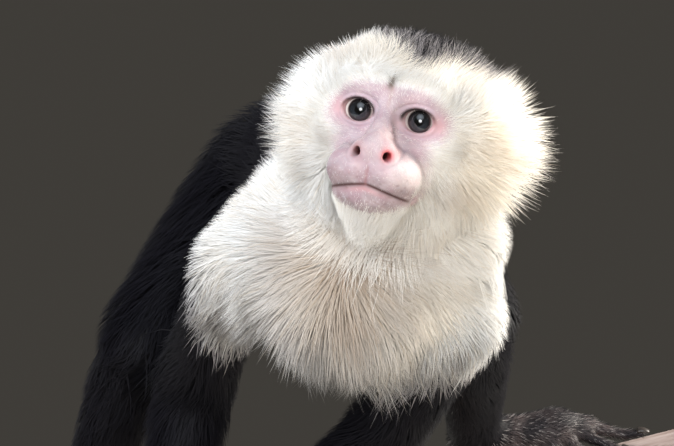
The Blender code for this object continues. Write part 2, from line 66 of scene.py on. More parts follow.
# ---- the body's measures, as in the solids
HEAD_YAW, HEAD_LIFT, HEAD_ROLL = math.radians(11), math.radians(9), math.radians(-3.2)
EYE_X, EYE_Y, EYE_RADIUS = 14.1, 8.0, 9.4
SHOULDER = {"left": (54, 62, -102), "right": (-54, 62, -102)}
ELBOW = {"left": (33, 122, -177), "right": (-64, 130, -173)}
WRIST = {"left": (-16, 88, -258), "right": (-61, 104, -270)}
ARM_RADII, ARM_COAT = (22, 21.5, 21.5, 22, 13.5), (9, 8.5, 8.5, 8, 3)
HIP = {"left": (20, 222, -84), "right": (-50, 222, -84)}
KNEE = {"left": (62, 116, -110), "right": (-94, 150, -164)}
ANKLE = {"left": (82, 230, -198), "right": (-110, 196, -282)}
LEG_RADII, LEG_COAT = (41, 26, 23, 22, 14), (13, 9.5, 9, 8, 3)
NECK_TOP, NECK_FOOT, NECK_RADII, NECK_COAT = (7, 46, -34), (0, 76, -84), (45, 36), (17, 11)
TRUNK = ((0, 54, -88), (-2, 108, -72), (-8, 172, -66), (-14, 226, -76))
TRUNK_RADII, TRUNK_COAT = (49, 54, 59, 56), (14, 12, 14, 15)
FORK = (-240, 152, -393)
FEET_LIMB, HANDS_LIMB = (FORK, (215, 256, -186), 28, 20), (FORK, (96, 66, -262), 24, 15)
STEM = (FORK, (-262, 147, -402), 28, 29)
TAIL_KNOTS = ((-17, 262, -66), (-26, 304, -78), (-48, 336, -120), (-68, 346, -184), (-72, 344, -248))
TAIL_COIL_RADIUS, TAIL_COIL_TURN = 34, math.radians(285)
TAIL_COAT = (8.0, 5.5)
HAND_X, FOOT_X, INNER = {"left": -20, "right": -61}, {"left": 139, "right": -130}, {"left": -1, "right": 1}
SIDES = (("left", 1), ("right", -1))
DIGIT_COAT = 1.2
GRAIN_APART = 300  # how far apart the grain of two limbs of the branch starts

# Each style of coat: how far its hair lifts off the skin in degrees, tufts to the square millimetre, and their width.
STYLES = {
    "head": (40, 2.1, 0.36),
    "neck": (34, 1.40, 0.43),
    "chest": (30, 1.33, 0.45),
    "back": (24, 0.25, 1.05),
    "arm": (22, 0.34, 0.92),
    "leg": (22, 0.26, 1.0),
    "paw": (12, 1.15, 0.50),
    "tail": (20, 0.31, 0.98),
    "ear": (20, 0.7, 0.35),
}

WHORL = (-7, 22, -74)  # the middle of the breast, from which its hair spreads
# The cream also serves as painted light on the cheek on the animal's left.
WHITE_FUR, CREAM_AND_GLOW_FUR = (0.93, 0.92, 0.89), (0.92, 0.78, 0.58)
# The tan also serves as painted shade on the throat and breast.
TAN_AND_SHADE_FUR, DUN_FUR = (0.43, 0.33, 0.25), (0.17, 0.155, 0.14)
BLACK_FUR, GREY_FUR, MARK_FUR = (0.0052, 0.0048, 0.0070), (0.28156, 0.26044, 0.2611), (0.12, 0.09, 0.065)
FACE_SKIN, MUZZLE_SKIN = (0.41, 0.315, 0.335), (0.31, 0.235, 0.240)
DARK_SKIN, EAR_SKIN = (0.022, 0.018, 0.020), (0.55, 0.36, 0.33)
# A tuft's brightness and tint at its root, its two bends and its tip, the darker, warmer root being painted shade deep
# in the coat, and the tint of the odd browner tuft.
ROOT_SHADE_TO_TIP = np.array((0.88, 0.95, 1.0, 1.03))
WARM_SHADED_ROOTS = np.array(((0.97, 0.93, 0.87), (0.98, 0.96, 0.93), (1, 1, 1), (1, 1, 1)))
STREAK = (0.90, 0.83, 0.74)

# Where each style lies on the coat's bake map, and each patch's first corner, cell size and columns (0 for one cell).
BAKE_PATCH = {"head": "head", "ear": "head", "arm": "limb", "leg": "limb", "paw": "paw", "tail": "tail"}
BAKE_CELLS = {
    "head": ((0.0, 0.0), (0.5, 0.5), 0),
    "trunk": ((0.5, 0.0), (0.5, 0.5), 0),
    "limb": ((0.0, 0.5), (0.15, 0.16), 4),
    "paw": ((0.6, 0.64), (0.04, 0.036), 10),
    "tail": ((0.6, 0.5), (0.4, 0.14), 0),
}

CORNEA_INSET, CORNEA_RISE = 0.25, 0.9  # how far the white is inside the eye's solid, and the cornea's rise off it
GAZE = math.radians(3.5)  # the eyes turn this far towards the animal's left of where the face points
CORNEA = math.radians(35.5)  # from the middle of the cornea to its edge
CAMERA_DROP, CAMERA_AWAY, CAMERA_ROLL = math.radians(12), 1700.0, math.radians(12.5)
CAMERA_AIM = (-12.2, -11.1, -51.4)


# ---- shapes as distance fields
def unit(vectors):
    vectors = np.array(vectors, float)
    return vectors / np.maximum(np.linalg.norm(vectors, axis=-1, keepdims=True), 1e-9)


def cone(start, end, start_radius, end_radius, blend, **more):
    """A limb: the hull of two balls. One that is sawn ends flat."""
    return {"kind": "cone", "a": np.array(start, float), "b": np.array(end, float),
            "ra": start_radius, "rb": end_radius, "blend": blend, **more}


def chain(points, radii, blend, **more):
    """Limbs end to end, with a radius at each point."""
    return [cone(*ends, *sizes, blend, **more) for ends, sizes in zip(zip(points, points[1:]), zip(radii, radii[1:]))]


def egg(centre, radii, blend, turn=np.eye(3), **more):
    """An ellipsoid, whose own axes are the columns of turn."""
    return {"kind": "egg", "a": np.array(centre, float), "radii": np.array(radii, float), "blend": blend,
            "turn": turn, **more}


def hollow(shape):
    return {**shape, "hollow": True}


def distance(shape, points):
    """How far each point is outside the shape. It is negative inside."""
    offset = points - shape["a"]
    if shape["kind"] == "cone":
        along = shape["b"] - shape["a"]
        share = np.clip(offset @ along / (along @ along), 0, 1)
        nearest = np.linalg.norm(offset - share[..., None] * along, axis=-1)
        outside = nearest - shape["ra"] - share * (shape["rb"] - shape["ra"])
        if shape.get("sawn"):
            outside = np.maximum(outside, (points - shape["b"]) @ unit(along))
        return outside
    local = offset @ shape["turn"]
    scaled = np.linalg.norm(local / shape["radii"], axis=-1)
    steepness = np.linalg.norm(local / shape["radii"] ** 2, axis=-1)
    return scaled * (scaled - 1) / np.maximum(steepness, 1e-9)


def reach(shape, margin):
    """The lowest and highest corner of a box round the shape."""
    if shape["kind"] == "cone":
        low = np.minimum(shape["a"] - shape["ra"], shape["b"] - shape["rb"])
        return low - margin, np.maximum(shape["a"] + shape["ra"], shape["b"] + shape["rb"]) + margin
    size = shape["radii"].max() + margin
    return shape["a"] - size, shape["a"] + size


def box_round(shapes, margin):
    lows, highs = zip(*(reach(shape, margin) for shape in shapes if not shape.get("hollow")))
    return np.min(lows, axis=0), np.max(highs, axis=0)


def run_together(old, new, shape):
    """The old distance with a shape joined to it, or cut out of it, smoothly over the shape's blend."""
    blend = shape["blend"]
    if shape.get("hollow"):
        share = np.maximum(blend - np.abs(old + new), 0) / blend
        return np.maximum(old, -new) + share**2 * blend / 4
    share = np.maximum(blend - np.abs(old - new), 0) / blend
    return np.minimum(old, new) - share**2 * blend / 4


def on_grid(shapes, axes):
    total = np.full([len(axis) for axis in axes], FAR, np.float32)
    for shape in shapes:
        low, high = reach(shape, shape["blend"] + 2)
        part = tuple(slice(*np.searchsorted(axis, (low[n], high[n]))) for n, axis in enumerate(axes))
        grid = np.meshgrid(*(axis[cut] for axis, cut in zip(axes, part)), indexing="ij")
        total[part] = run_together(total[part], distance(shape, np.stack(grid, axis=-1)), shape)
    return total


def at_points(shapes, points):
    """How far each point is outside shapes joined in turn, as on_grid makes them, where it is near them."""
    total = np.full(len(points), FAR)
    for shape in shapes:
        low, high = reach(shape, shape["blend"] + 2 if shape.get("hollow") else NEARBY)
        near = ((points > low) & (points < high)).all(axis=1)
        if near.any():
            total[near] = run_together(total[near], distance(shape, points[near]), shape)
    return total


def outwards(shapes, points):
    """The direction in which the distance grows, at each point."""
    here = at_points(shapes, points)
    return unit(np.stack([at_points(shapes, points + way) - here for way in np.eye(3)], axis=1))


def surface_nets(values, axes):
    """The surface where values is zero, as points and quads facing outwards."""
    inside = values < 0
    shape = np.array(values.shape)
    count = sum(inside[tuple(slice(low, size - 1 + low) for low, size in zip(corner, shape))].astype(np.int8)
                for corner in np.ndindex(2, 2, 2))
    cells = np.argwhere((count > 0) & (count < 8))
    number = np.full(shape - 1, -1, np.int32)
    number[tuple(cells.T)] = np.arange(len(cells))
    total, hits, faces = np.zeros((len(cells), 3)), np.zeros(len(cells)), []
    for axis in range(3):
        ahead, side, other = np.roll(np.eye(3, dtype=int), -axis, axis=0)
        for u, v in np.ndindex(2, 2):
            low = cells + u * side + v * other
            first, last = values[tuple(low.T)], values[tuple((low + ahead).T)]
            crossed = (first < 0) != (last < 0)
            share = np.where(crossed, first / np.where(crossed, first - last, 1), 0)
            point = np.stack([axes[n][low[:, n]] for n in range(3)], axis=1)
            point[:, axis] += share * (axes[axis][low[:, axis] + 1] - axes[axis][low[:, axis]])
            total += point * crossed[:, None]
            hits += crossed
        low_side = np.take(inside, range(shape[axis] - 1), axis)
        high_side = np.take(inside, range(1, shape[axis]), axis)
        edges = np.argwhere(low_side != high_side)
        quads = np.stack([number[tuple((edges - move).T)] for move in (side + other, other, 0 * side, side)], axis=1)
        leaving = low_side[tuple(edges.T)]
        faces.append(np.where(leaving[:, None], quads, quads[:, ::-1]))
    return total / hits[:, None], np.concatenate(faces)


def smoothed(points, quads, rounds):
    """Each point drawn halfway towards the middle of its neighbours."""
    ends = np.concatenate([quads, np.roll(quads, 1, axis=1)]).ravel()
    others = np.concatenate([np.roll(quads, 1, axis=1), quads]).ravel()
    count = np.bincount(ends, minlength=len(points))[:, None]
    for _ in range(rounds):
        middle = np.stack([np.bincount(ends, points[others, n], len(points)) for n in range(3)], axis=1) / count
        points = points + 0.5 * (middle - points)
    return points


def normals_of(points, quads):
    corner = points[quads]
    face = np.cross(corner[:, 2] - corner[:, 0], corner[:, 3] - corner[:, 1])
    total = np.stack([np.bincount(quads.ravel(), np.repeat(face[:, n], 4), len(points)) for n in range(3)], axis=1)
    return unit(total), np.linalg.norm(face, axis=1) / 2


def step_up(value, low, high):
    """0 below low, 1 above high, smooth between."""
    share = np.clip((value - low) / (high - low), 0, 1)
    return share * share * (3 - 2 * share)


def wobble(points, size, seed):
    """A smooth field between about -1 and 1, that changes over about size millimetres."""
    own = np.random.default_rng(seed)
    waves = unit(own.normal(size=(9, 3))) * (2.2 / size) * own.uniform(0.6, 1.6, (9, 1))
    return np.sin(points @ waves.T + own.uniform(0, 6.3, 9)).sum(axis=1) / 3.2


# ---- the head's own frame
HEAD = np.array(Matrix.Rotation(-HEAD_YAW, 3, "Z") @ Matrix.Rotation(HEAD_ROLL, 3, "Y")
                @ Matrix.Rotation(-HEAD_LIFT, 3, "X"))


def in_head(point):
    return HEAD @ np.array(point, float)


def head_egg(centre, radii, blend, turn=0.0, **more):
    own = np.array(Matrix.Rotation(math.radians(turn), 3, "Z"))
    return egg(in_head(centre), radii, blend, HEAD @ own, **more)


def head_cone(start, end, start_radius, end_radius, blend):
    return cone(in_head(start), in_head(end), start_radius, end_radius, blend)


def mouth_line(x):
    """Where the closed lips meet, in the head's own frame."""
    return np.array((x, -21.5 + 6.8 * np.abs(x / 18.5) ** 4, -31.8 - 0.13 * np.abs(x) ** 1.22))


# ---- what the coat fills, and the skin under it
# Each row has its number of sides (2 is mirrored), then an egg's centre, radii and blend, or a cone's ends, radii
# and blend.
HEAD_HULL = (
    (1, (0, 37, 5), (44, 42, 37), 6),
    (1, (-20, 37, -13), (44, 30, 38), 14),
    (1, (28, 37, -7), (47, 30, 40), 14),
    (1, (-37, 40, 8), (17, 16, 14), 10),
    (1, (48, 37, 13), (19, 20, 13), 8),
    (1, (0, 24, -26), (34, 26, 30), 12),
    (1, (-17, 4, 13), (17, 4, 13), 7, 7, 8),
    (1, (0, -5, -27), (22.5, 20, 13), 7),
    (1, (0, -4, -38), (18, 18, 9), 3),
    (1, (0, -1, -50), (14, 12, 12), 5),
    (1, (0, 0, 2), (0, -15, -14), 6, 6.5, 6),
    (2, (47, 67, -4), (10, 5.5, 16), 4),
)
LID = EYE_RADIUS + 1.0
HEAD_SKIN = (
    (1, (0, 42, 4), (30, 36, 30), 6),  # braincase
    (2, (17, 38, -13), (25, 24, 25), 12),  # flesh of the jaw and neck
    (2, (28, 24, -11), (15, 15, 19), 10),  # cheeks
    (1, (0, 31, 8), (32, 31, 26), 10),  # forehead
    (1, (0, 17, -5), (32.5, 20.5, 29), 9),  # the face's broad plate
    (1, (0, 18, -27), (21, 22, 17), 10),  # jaw
    (1, (-17, 4.5, 12), (17, 4.5, 12), 6.2, 6.2, 8),  # brow
    (2, (23, 6, -9), (8, 7, 7), 7),  # cheekbones
    (2, (7.5, -5.5, -26.5), (14.5, 18.5, 12.3), 7),  # upper lip
    (1, (0, -3.5, -37.3), (18, 17.4, 9.0), 2.5),  # chin
    (1, (0, 2, -43), (9, 10, 6), 5),  # under the chin
    (1, (0, 1, 4), (0, -14.5, -13.5), 5.2, 6.6, 7),  # bridge of the nose
    (1, (0, -17, -16.5), (7.5, 6, 5.5), 4),  # nose
    (2, (5.4, -15.5, -17.6), (4.6, 5.4, 4.6), 3),  # its wings
)
SOCKETS = ((2, (EYE_X + 1, -6, -1), (9.5, 7, 7.5), 6),)
LIDS = ((2, (EYE_X, EYE_Y, 0), (LID, LID, LID), 3.5),)
SLITS = ((2, (EYE_X, -3, 0.1), (7.2, 9, 5.55), 0.8),)


def head_shapes(rows):
    shapes = []
    for sides, (x, y, z), *rest in rows:
        make = head_egg if len(rest) == 2 else head_cone
        shapes += [make((side * x, y, z), *rest) for side in (-1, 1)[-sides:]]
    return shapes


def head_skin():
    sockets, slits = ([hollow(shape) for shape in head_shapes(rows)] for rows in (SOCKETS, SLITS))
    shapes = head_shapes(HEAD_SKIN) + sockets + head_shapes(LIDS) + slits
    cuts = [((side * 10.0, -3.5, -0.8), (side * 6.4, -2.5, -1.7), 2.2, 0.7, 0.8) for side in (-1, 1)]  # eye corners
    cuts += [((side * 8.2, -22.4, -18.4), (side * 4.2, -15.5, -17.0), 2.4, 1.5, 0.9) for side in (-1, 1)]  # nostrils
    lips = [mouth_line(x) + (0, -2.4, 0) for x in np.linspace(-18.5, 18.5, 15)]
    cuts += [(start, end, 1.15, 1.15, 0.9) for start, end in zip(lips, lips[1:])]
    return [{**shape, "style": "head"} for shape in shapes + [hollow(head_cone(*cut)) for cut in cuts]]


def ear_skin():
    plates = [head_egg((side * 40, 60, -3), (15, 2.6, 15.5), 5, side * 38, style="ear") for side in (-1, 1)]
    bowls = [head_egg((side * 41.5, 56, -3), (9, 3.4, 11), 1.5, side * 38, style="ear") for side in (-1, 1)]
    return plates + [hollow(bowl) for bowl in bowls]


def tail_line():
    """Points and radii along the tail, out to the tips of its hair."""
    hang, coil_steps, samples, rounds, count = np.array(TAIL_KNOTS[-1], float), 24, 400, 60, 31
    line = [*TAIL_KNOTS]
    for step in range(1, coil_steps + 1):
        turn, size = TAIL_COIL_TURN * step / coil_steps, TAIL_COIL_RADIUS * (1 - 0.38 * step / coil_steps)
        line.append(hang + (0.75 * step, size * math.cos(turn) - TAIL_COIL_RADIUS, -size * math.sin(turn)))
    line = np.array(line, float)
    lengths = np.append(0, np.cumsum(np.linalg.norm(np.diff(line, axis=0), axis=1)))
    dense = np.stack([np.interp(np.linspace(0, lengths[-1], samples), lengths, axis) for axis in line.T], axis=1)
    for _ in range(rounds):
        dense[1:-1] = (dense[:-2] + dense[1:-1] + dense[2:]) / 3
    steps = np.linspace(0, samples - 1, count).round().astype(int)
    return dense[steps], 20.5 - 9.5 * np.linspace(0, 1, count) ** 1.2


class Grip:
    """A place on a limb of the fork, and points round it: offset along the limb, angle 90 on top and 0 in front."""

    def __init__(self, limb, x):
        start, end = np.array(limb[:2], float)
        share = (x - start[0]) / (end[0] - start[0])
        self.centre = start + share * (end - start)
        self.radius = limb[2] + share * (limb[3] - limb[2])
        self.along = unit(end - start)
        self.front = unit(np.array((0, -1, 0)) + self.along * self.along[1])
        self.up = np.cross(self.front, self.along)

    def at(self, offset, angle, height):
        turn = math.radians(angle)
        out = math.cos(turn) * self.front + math.sin(turn) * self.up
        return self.centre + offset * self.along + (self.radius + height) * out


def digit(grip, root, joints, sizes, root_sizes, blends):
    """One finger or toe: its shapes, and its last joint with the way out from the branch, for its nail."""
    shapes = [cone(root, joints[0], *root_sizes, blends[0]), *chain(joints, sizes, blends[1])]
    return shapes, (joints[-2], joints[-1], sizes[-1], grip)


def digits(grip, root, spread, angles, thickness, shift, slant=0.0, arch=0.0, fan=0.0):
    made, lifts = [], (arch, arch * 0.4, 0, 0)
    for number, length in enumerate((0.86, 1.0, 0.97, 0.8)):
        offset = spread * (number - 1.5)
        bends = [angles[0] + (angle - angles[0]) * length * (1 - fan * number) for angle in angles]
        sizes = [thickness * (1 - 0.1 * n) for n in range(len(angles))]
        joints = [grip.at(shift + slant * n + offset * (1 + 0.12 * n), bends[n], sizes[n] + lifts[n])
                  for n in range(len(angles))]
        made.append(digit(grip, root, joints, sizes, (thickness * 1.9, thickness * 1.25), (5, 1.6)))
    return made


def thumb(grip, root, side, offsets, angles, thickness, arch=0.0):
    joints = [grip.at(side * offset, angle, thickness + lift)
              for offset, angle, lift in zip(offsets, angles, (arch, arch * 0.4, 0))]
    sizes = [thickness * (1.1 - 0.1 * n) for n in range(len(joints))]
    return [digit(grip, root, joints, sizes, (thickness * 1.5, thickness * 1.15), (5, 2))]


def paws():
    """The shapes of the hands and feet, out to their short hair, and where each nail sits."""
    shapes, nails = [], []
    for side, _ in SIDES:
        grip, inner = Grip(HANDS_LIMB, HAND_X[side]), INNER[side]
        palm = grip.at(0, 100, 9)
        shapes.append(cone(WRIST[side], palm, 11, 10, 6))
        made = digits(grip, palm, 8.4, (72, 34, 0, -30), 4.3, -inner * 3)
        made += thumb(grip, palm, inner, (17, 22, 25), (78, 46, 18), 4.2)
        grip = Grip(FEET_LIMB, FOOT_X[side])
        heel, sole = grip.at(inner * 30, 118, 11), grip.at(0, 96, 14)
        shapes += [cone(ANKLE[side], heel, 12, 10, 6), cone(heel, sole, 11, 12, 6),
                   cone(ANKLE[side], sole, 11, 10, 8)]
        made += digits(grip, sole, 9, (96, 70, 40, 8), 4.9, -inner * 4, -inner * 7, arch=8, fan=0.25)
        made += thumb(grip, sole, inner, (20, 26, 29), (100, 70, 40), 5.2, arch=8)
        for pieces, nail in made:
            shapes += pieces
            nails.append(nail)
    return shapes, nails


def body(bare):
    """The neck, trunk, limbs and tail: out to the tips of the coat, or the skin if bare is 1."""
    shapes = [cone(NECK_TOP, NECK_FOOT, *(r - bare * c for r, c in zip(NECK_RADII, NECK_COAT)),
                   12 if bare else 8, style="neck")]
    radii = [r - bare * c for r, c in zip(TRUNK_RADII, TRUNK_COAT)]
    shapes += chain(TRUNK[:2], radii, 16, style="chest") + chain(TRUNK[1:], radii[1:], 16, style="back")
    for side, _ in SIDES:
        x, y, z = SHOULDER[side]
        shapes.append(cone((x * 0.8, y + 8, z + 22), (x * 0.93, y + 2, z + 4), 26 - 11 * bare, 28 - 11 * bare,
                           18, style="chest"))
    breast = (((40, 56, -62), (19, 18, 17), 14),) if bare else (((46, 52, -58), (26, 28, 24), 16),
                                                                ((0, 36, -112), (42, 26, 24), 16))
    shapes += [egg(*row, style="chest") for row in breast]
    for joints, all_radii, coats, style in (((SHOULDER, ELBOW, WRIST), ARM_RADII, ARM_COAT, "arm"),
                                            ((HIP, KNEE, ANKLE), LEG_RADII, LEG_COAT, "leg")):
        radii = [r - bare * c for r, c in zip(all_radii, coats)]
        for side, _ in SIDES:
            root, bend, end = (np.array(joint[side], float) for joint in joints)
            belly = bend + (end - bend) * 0.3
            shapes += chain((root, bend), radii, 10, style=style) + chain((bend, belly), radii[2:], 6, style=style)
            shapes += chain((belly, end), radii[3:], 4, style=style)
    for shape in paws()[0]:
        shapes.append({**shape, "ra": shape["ra"] - DIGIT_COAT * bare, "rb": shape["rb"] - DIGIT_COAT * bare,
                       "style": "paw"})
    points, radii = tail_line()
    radii = radii - bare * np.linspace(*TAIL_COAT, len(radii))
    return shapes + chain(points[:2], radii, 6, style="tail") + chain(points[1:], radii[1:], 3, style="tail")


SKIN = head_skin() + ear_skin() + body(1)
HULL = head_shapes(HEAD_HULL) + body(0)
FACE = ((-31, -30, -53), (31, 16, 19))  # the part of the head that has a fine grid


def grid_axes():
    """The skin's grid: coarse, with finer steps where the face is."""
    corners = np.array([in_head([FACE[pick][n] for n, pick in enumerate(choice)])
                        for choice in np.ndindex(2, 2, 2)])
    axes = []
    for low, high, own in zip(*box_round(SKIN, 3), corners.T):
        start, end = max(own.min(), low), own.max()
        before = start - COARSE * np.arange(math.ceil((start - low) / COARSE), 0, -1)
        axes.append(np.concatenate([before, np.arange(start, end, FINE), np.arange(end, high + COARSE, COARSE)]))
    return axes


# ---- markings, the same on skin and coat
def bell(value, width):
    return np.exp(-((value / width) ** 2))


def spot(points, centre, radii):
    return np.exp(-(((points - centre) / radii) ** 2).sum(axis=1))


def from_edge(head):
    """About how far inside the bare face's edge each point is, in millimetres. It is negative in the hair."""
    x, _, z = head.T
    eyes = 1 - np.sqrt((x / 29) ** 2 + ((z - 0.5 - 1.5 * bell(np.abs(x) - 14, 9)) / 13.0) ** 2)
    muzzle = 1 - np.sqrt((x / 23.5) ** 2 + ((z + 25) / np.where(z < -25, 20.5, 24.0)) ** 2)
    return np.maximum(eyes * 15, muzzle * 20) + bell(eyes - muzzle, 0.4) * 1.5


def bareness(head):
    """How bare of long hair the face is at points in the head's frame: 1 is bare skin."""
    return step_up(from_edge(head), -5.0, 2.5) * step_up(-head[:, 1], -24, -16)


def whiteness(points, head_share):
    """How far inside the white part of the coat each point is, in millimetres. It is negative in the black."""
    x, y, z = (points @ HEAD).T
    cap = -5 + np.maximum(1.3 * (8 - x), 1.2 * (x - 8)) + 0.85 * (30 - z) - y
    x, y, z = points.T
    bib = np.minimum(z + 134 - 0.62 * np.maximum(x - 30, 0),
                     82 + 0.08 * np.abs(x) - y - 1.5 * np.maximum(-x - 48, 0))
    return head_share * cap * 0.8 + (1 - head_share) * bib


def mixed(colour, *layers):
    """The colour with each layer mixed in: a layer is its own colour, and its share at each point."""
    for tone, share in layers:
        colour = colour + (np.array(tone) - colour) * np.clip(share, 0, 1)[:, None]
    return colour


def fur_colour(points, head_share, own, bright):
    """The coat's colour. own shifts each tuft across an edge, and bright makes it lighter or darker."""
    head = points @ HEAD
    # Painted light: cream on the cheek on the animal's left only, for the sun glowing through the hair there.
    cheek_glow = spot(head, (36, 22, -16), (11, 16, 22)) * head_share
    chest = spot(points, (22, 20, -84), (26, 30, 26))
    crown = spot(head, (0, 14, 26), (30, 16, 12)) * head_share
    # Partly a real tan and partly painted shade: the middle of the throat and breast, where the hair parts and lies in
    # shade.
    throat_tan_and_shade = spot(points, (-4, 12, -80), (34, 30, 26)) * (1 - 0.8 * head_share)
    temples = spot(np.abs(head), (31, 20, 22), (9, 14, 9)) * head_share
    hanging = step_up(-points[:, 2], 84, 114) * (1 - head_share)
    trunk = step_up(-points[:, 2], 66, 84) * (1 - head_share)
    mark = spot(head, (-0.8, 0, 13.5), (2.0, 12, 3.2)) * head_share
    pale = mixed(
        WHITE_FUR,
        (CREAM_AND_GLOW_FUR, 0.65 * cheek_glow + 0.50 * chest + 0.40 * crown + 0.16 * wobble(points, 14, 3) + 0.10),
        (TAN_AND_SHADE_FUR, 0.95 * throat_tan_and_shade + 0.55 * temples + 0.14 * wobble(points, 9, 4)),
        (DUN_FUR, 0.14 * trunk + hanging * (0.72 + 0.34 * wobble(points, 7, 6))),
    )
    white = whiteness(points, head_share) + 3.0 * wobble(points, 12, 5) + own
    edged = mixed(GREY_FUR, (pale, step_up(white, -2, 4)))
    colour = mixed(BLACK_FUR, (edged, step_up(white + 14 * head_share * (own > 0.4), -6, -1)),
                   (MARK_FUR, 1.2 * mark))
    return np.clip(colour * bright[:, None], 0, 1)


def skin_colour(points, head_share, paw_share, ear_share):
    """The skin's colour: the coat's own, with the bare face, the ears, and the dark hands and feet over it."""
    head = points @ HEAD
    x, y, z = head.T
    side, mouth = np.abs(x), z - mouth_line(x)[2]
    ring = np.hypot((side - EYE_X - 0.1) / 7.2, z / 5.3)
    by_eyes, by_lips = step_up(-y, -12, -4), step_up(-y, 2, 8)
    lips = step_up(-z, 22, 31) * step_up(-y, -6, 6)
    freckles = np.clip(wobble(points, 0.9, 14) - 0.5, 0, 1) * 2.0 * (0.35 + lips)
    pits = bell(side - 7.2, 2.4) * bell(z + 17.2, 2.7) * step_up(-y, 5, 10)
    inside = bell(side - 5.0 - 1.3 * (x < 0), 2.0) * bell(z + 18.0, 2.4) * step_up(y, -22.0, -18.5)
    face = mixed(
        FACE_SKIN,
        ((0.56, 0.36, 0.37), 0.10 + 0.30 * wobble(points, 5, 11)),
        ((0.56, 0.46, 0.49), 0.35 * wobble(points, 7, 12)),
        (MUZZLE_SKIN, 0.85 * lips + 0.1 * lips * wobble(points, 3, 13)),
        ((0.48, 0.37, 0.375), 0.75 * bell(side, 10) * bell(z + 11, 11) * bell(y + 17, 14)),  # nose
        ((0.62, 0.52, 0.52), 0.22 * np.clip(wobble(points, 2.6, 16), 0, 1)),
        ((0.32, 0.19, 0.22), 0.38 * np.clip(wobble(points, 3.4, 17), 0, 1)),
        # painted light: the muzzle lighter on the animal's left of the nose, where the sun falls
        ((0.70, 0.60, 0.58), 0.55 * step_up(x, 6, 14) * step_up(-z, 14, 22) * step_up(z, -33, -28)),
        ((0.24, 0.15, 0.15), 0.20 * freckles * step_up(side + np.abs(z + 34), 3, 10)),
        ((0.44, 0.32, 0.37), 0.40 * bell(ring - 1.25, 0.55) * step_up(-y, -14, -6)),  # eye sockets
        ((0.42, 0.24, 0.23), 0.55 * bell(ring - 0.95, 0.13) * by_eyes),  # rims of the lids
        ((0.030, 0.02, 0.02), bell(ring - 1.05, 0.13) * step_up(z, -2.5, 1.5) * by_eyes),  # lash line
        ((0.72, 0.36, 0.34), 0.38 * bell(side - 24, 5) * bell(z + 0.5, 5) * step_up(-y, -16, -6)),
        # painted shade: the dark line in the crease where the lips meet
        ((0.060, 0.020, 0.018), bell(mouth, 0.70) * step_up(-side, -19.8, -18.2) * by_lips),
        ((0.52, 0.27, 0.28), 0.6 * bell(mouth + 2.1, 1.3) * bell(x, 9) * by_lips),  # lower lip
        ((0.30, 0.15, 0.15),  # groove of the upper lip, darkened with painted shade
         0.6 * bell(x, 0.7) * step_up(-z, 22.5, 25) * step_up(z, -33, -31.5) * step_up(-y, 4, 9)),
        ((0.34, 0.14, 0.13), 0.9 * pits * (x < 0)),  # nostrils: painted shade round the animal's right one, and round its left one a painted red glow of light through the skin
        ((0.80, 0.10, 0.10), 0.95 * pits * (x > 0)),
        # painted shade inside the nostrils
        ((0.05, 0.006, 0.006), 1.2 * inside),
        ((0.42, 0.28, 0.24), 0.40 * bell(x - 0.4, 1.1) * step_up(z, 1, 6) * by_eyes),  # between the brows
        ((0.14, 0.10, 0.08), 0.8 * spot(head, (-0.8, 0, 14.0), (1.6, 12, 2.6))),
    )
    under = fur_colour(points, head_share, np.zeros(len(points)), np.full(len(points), 0.97))
    under = mixed(under, (TAN_AND_SHADE_FUR, 0.12 * step_up(under[:, 0], 0.3, 0.6)))
    dark = mixed(DARK_SKIN, ((0.080, 0.062, 0.060), 0.35 + 0.6 * wobble(points, 5, 15)))
    return mixed(under, (face, bareness(head) * head_share), (EAR_SKIN, ear_share), (dark, paw_share))


# ---- meshes and materials
ROOT = np.mean([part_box("eye_" + name) for name, _ in SIDES], axis=(0, 1)) - in_head((0, EYE_Y, 0)) * MM


def into_frame(points):
    return points * MM + ROOT


def flat(values):
    return values.astype(np.float32).ravel()


def mesh_of(name, points, faces, colours=None, normals=None, patches=None):
    """An object of triangles or quads, with a colour, a shading normal and a place on the bake map for each point."""
    mesh = bpy.data.meshes.new(name)
    mesh.vertices.add(len(points))
    mesh.vertices.foreach_set("co", flat(into_frame(points)))
    mesh.loops.add(faces.size)
    mesh.loops.foreach_set("vertex_index", faces.astype(np.int32).ravel())
    mesh.polygons.add(len(faces))
    mesh.polygons.foreach_set("loop_start", np.arange(0, faces.size, faces.shape[1], dtype=np.int32))
    mesh.update(calc_edges=True)
    mesh.shade_smooth()
    if colours is not None:
        tint = mesh.color_attributes.new("tint", "FLOAT_COLOR", "POINT")
        tint.data.foreach_set("color", flat(np.hstack([colours, np.ones((len(points), 1))])))
    if patches is not None:
        layer = mesh.uv_layers.new(name="OFBake")
        layer.uv.foreach_set("vector", flat(patches[faces.ravel()]))
    if normals is not None:
        mesh.normals_split_custom_set_from_vertices(normals.astype(np.float32))
    obj = bpy.data.objects.new(name, mesh)
    bpy.context.scene.collection.objects.link(obj)
    return obj


def finished(obj, material, slot, *nodes):
    """Puts a piece on the model's one body, with its material, and the solids that it stands for. Its slot is not used.
    """
    obj.data.materials.append(material)
    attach(obj, "root")
    if nodes:
        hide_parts(*nodes)


def feed(tree, made, **inputs):
    """Sets a node's sockets, each to a value or to another node's output."""
    for name, value in inputs.items():
        socket = made.inputs[name.replace("_", " ")]
        if isinstance(value, bpy.types.NodeSocket):
            tree.links.new(value, socket)
        else:
            socket.default_value = value
    return made


def node(tree, kind, **inputs):
    return feed(tree, tree.nodes.new("ShaderNode" + kind), **inputs)


def principled(name, **inputs):
    """A material, its node tree, and its shader."""
    made = bpy.data.materials.new(name)
    made.use_nodes = True
    return made, made.node_tree, feed(made.node_tree, made.node_tree.nodes["Principled BSDF"], **inputs)


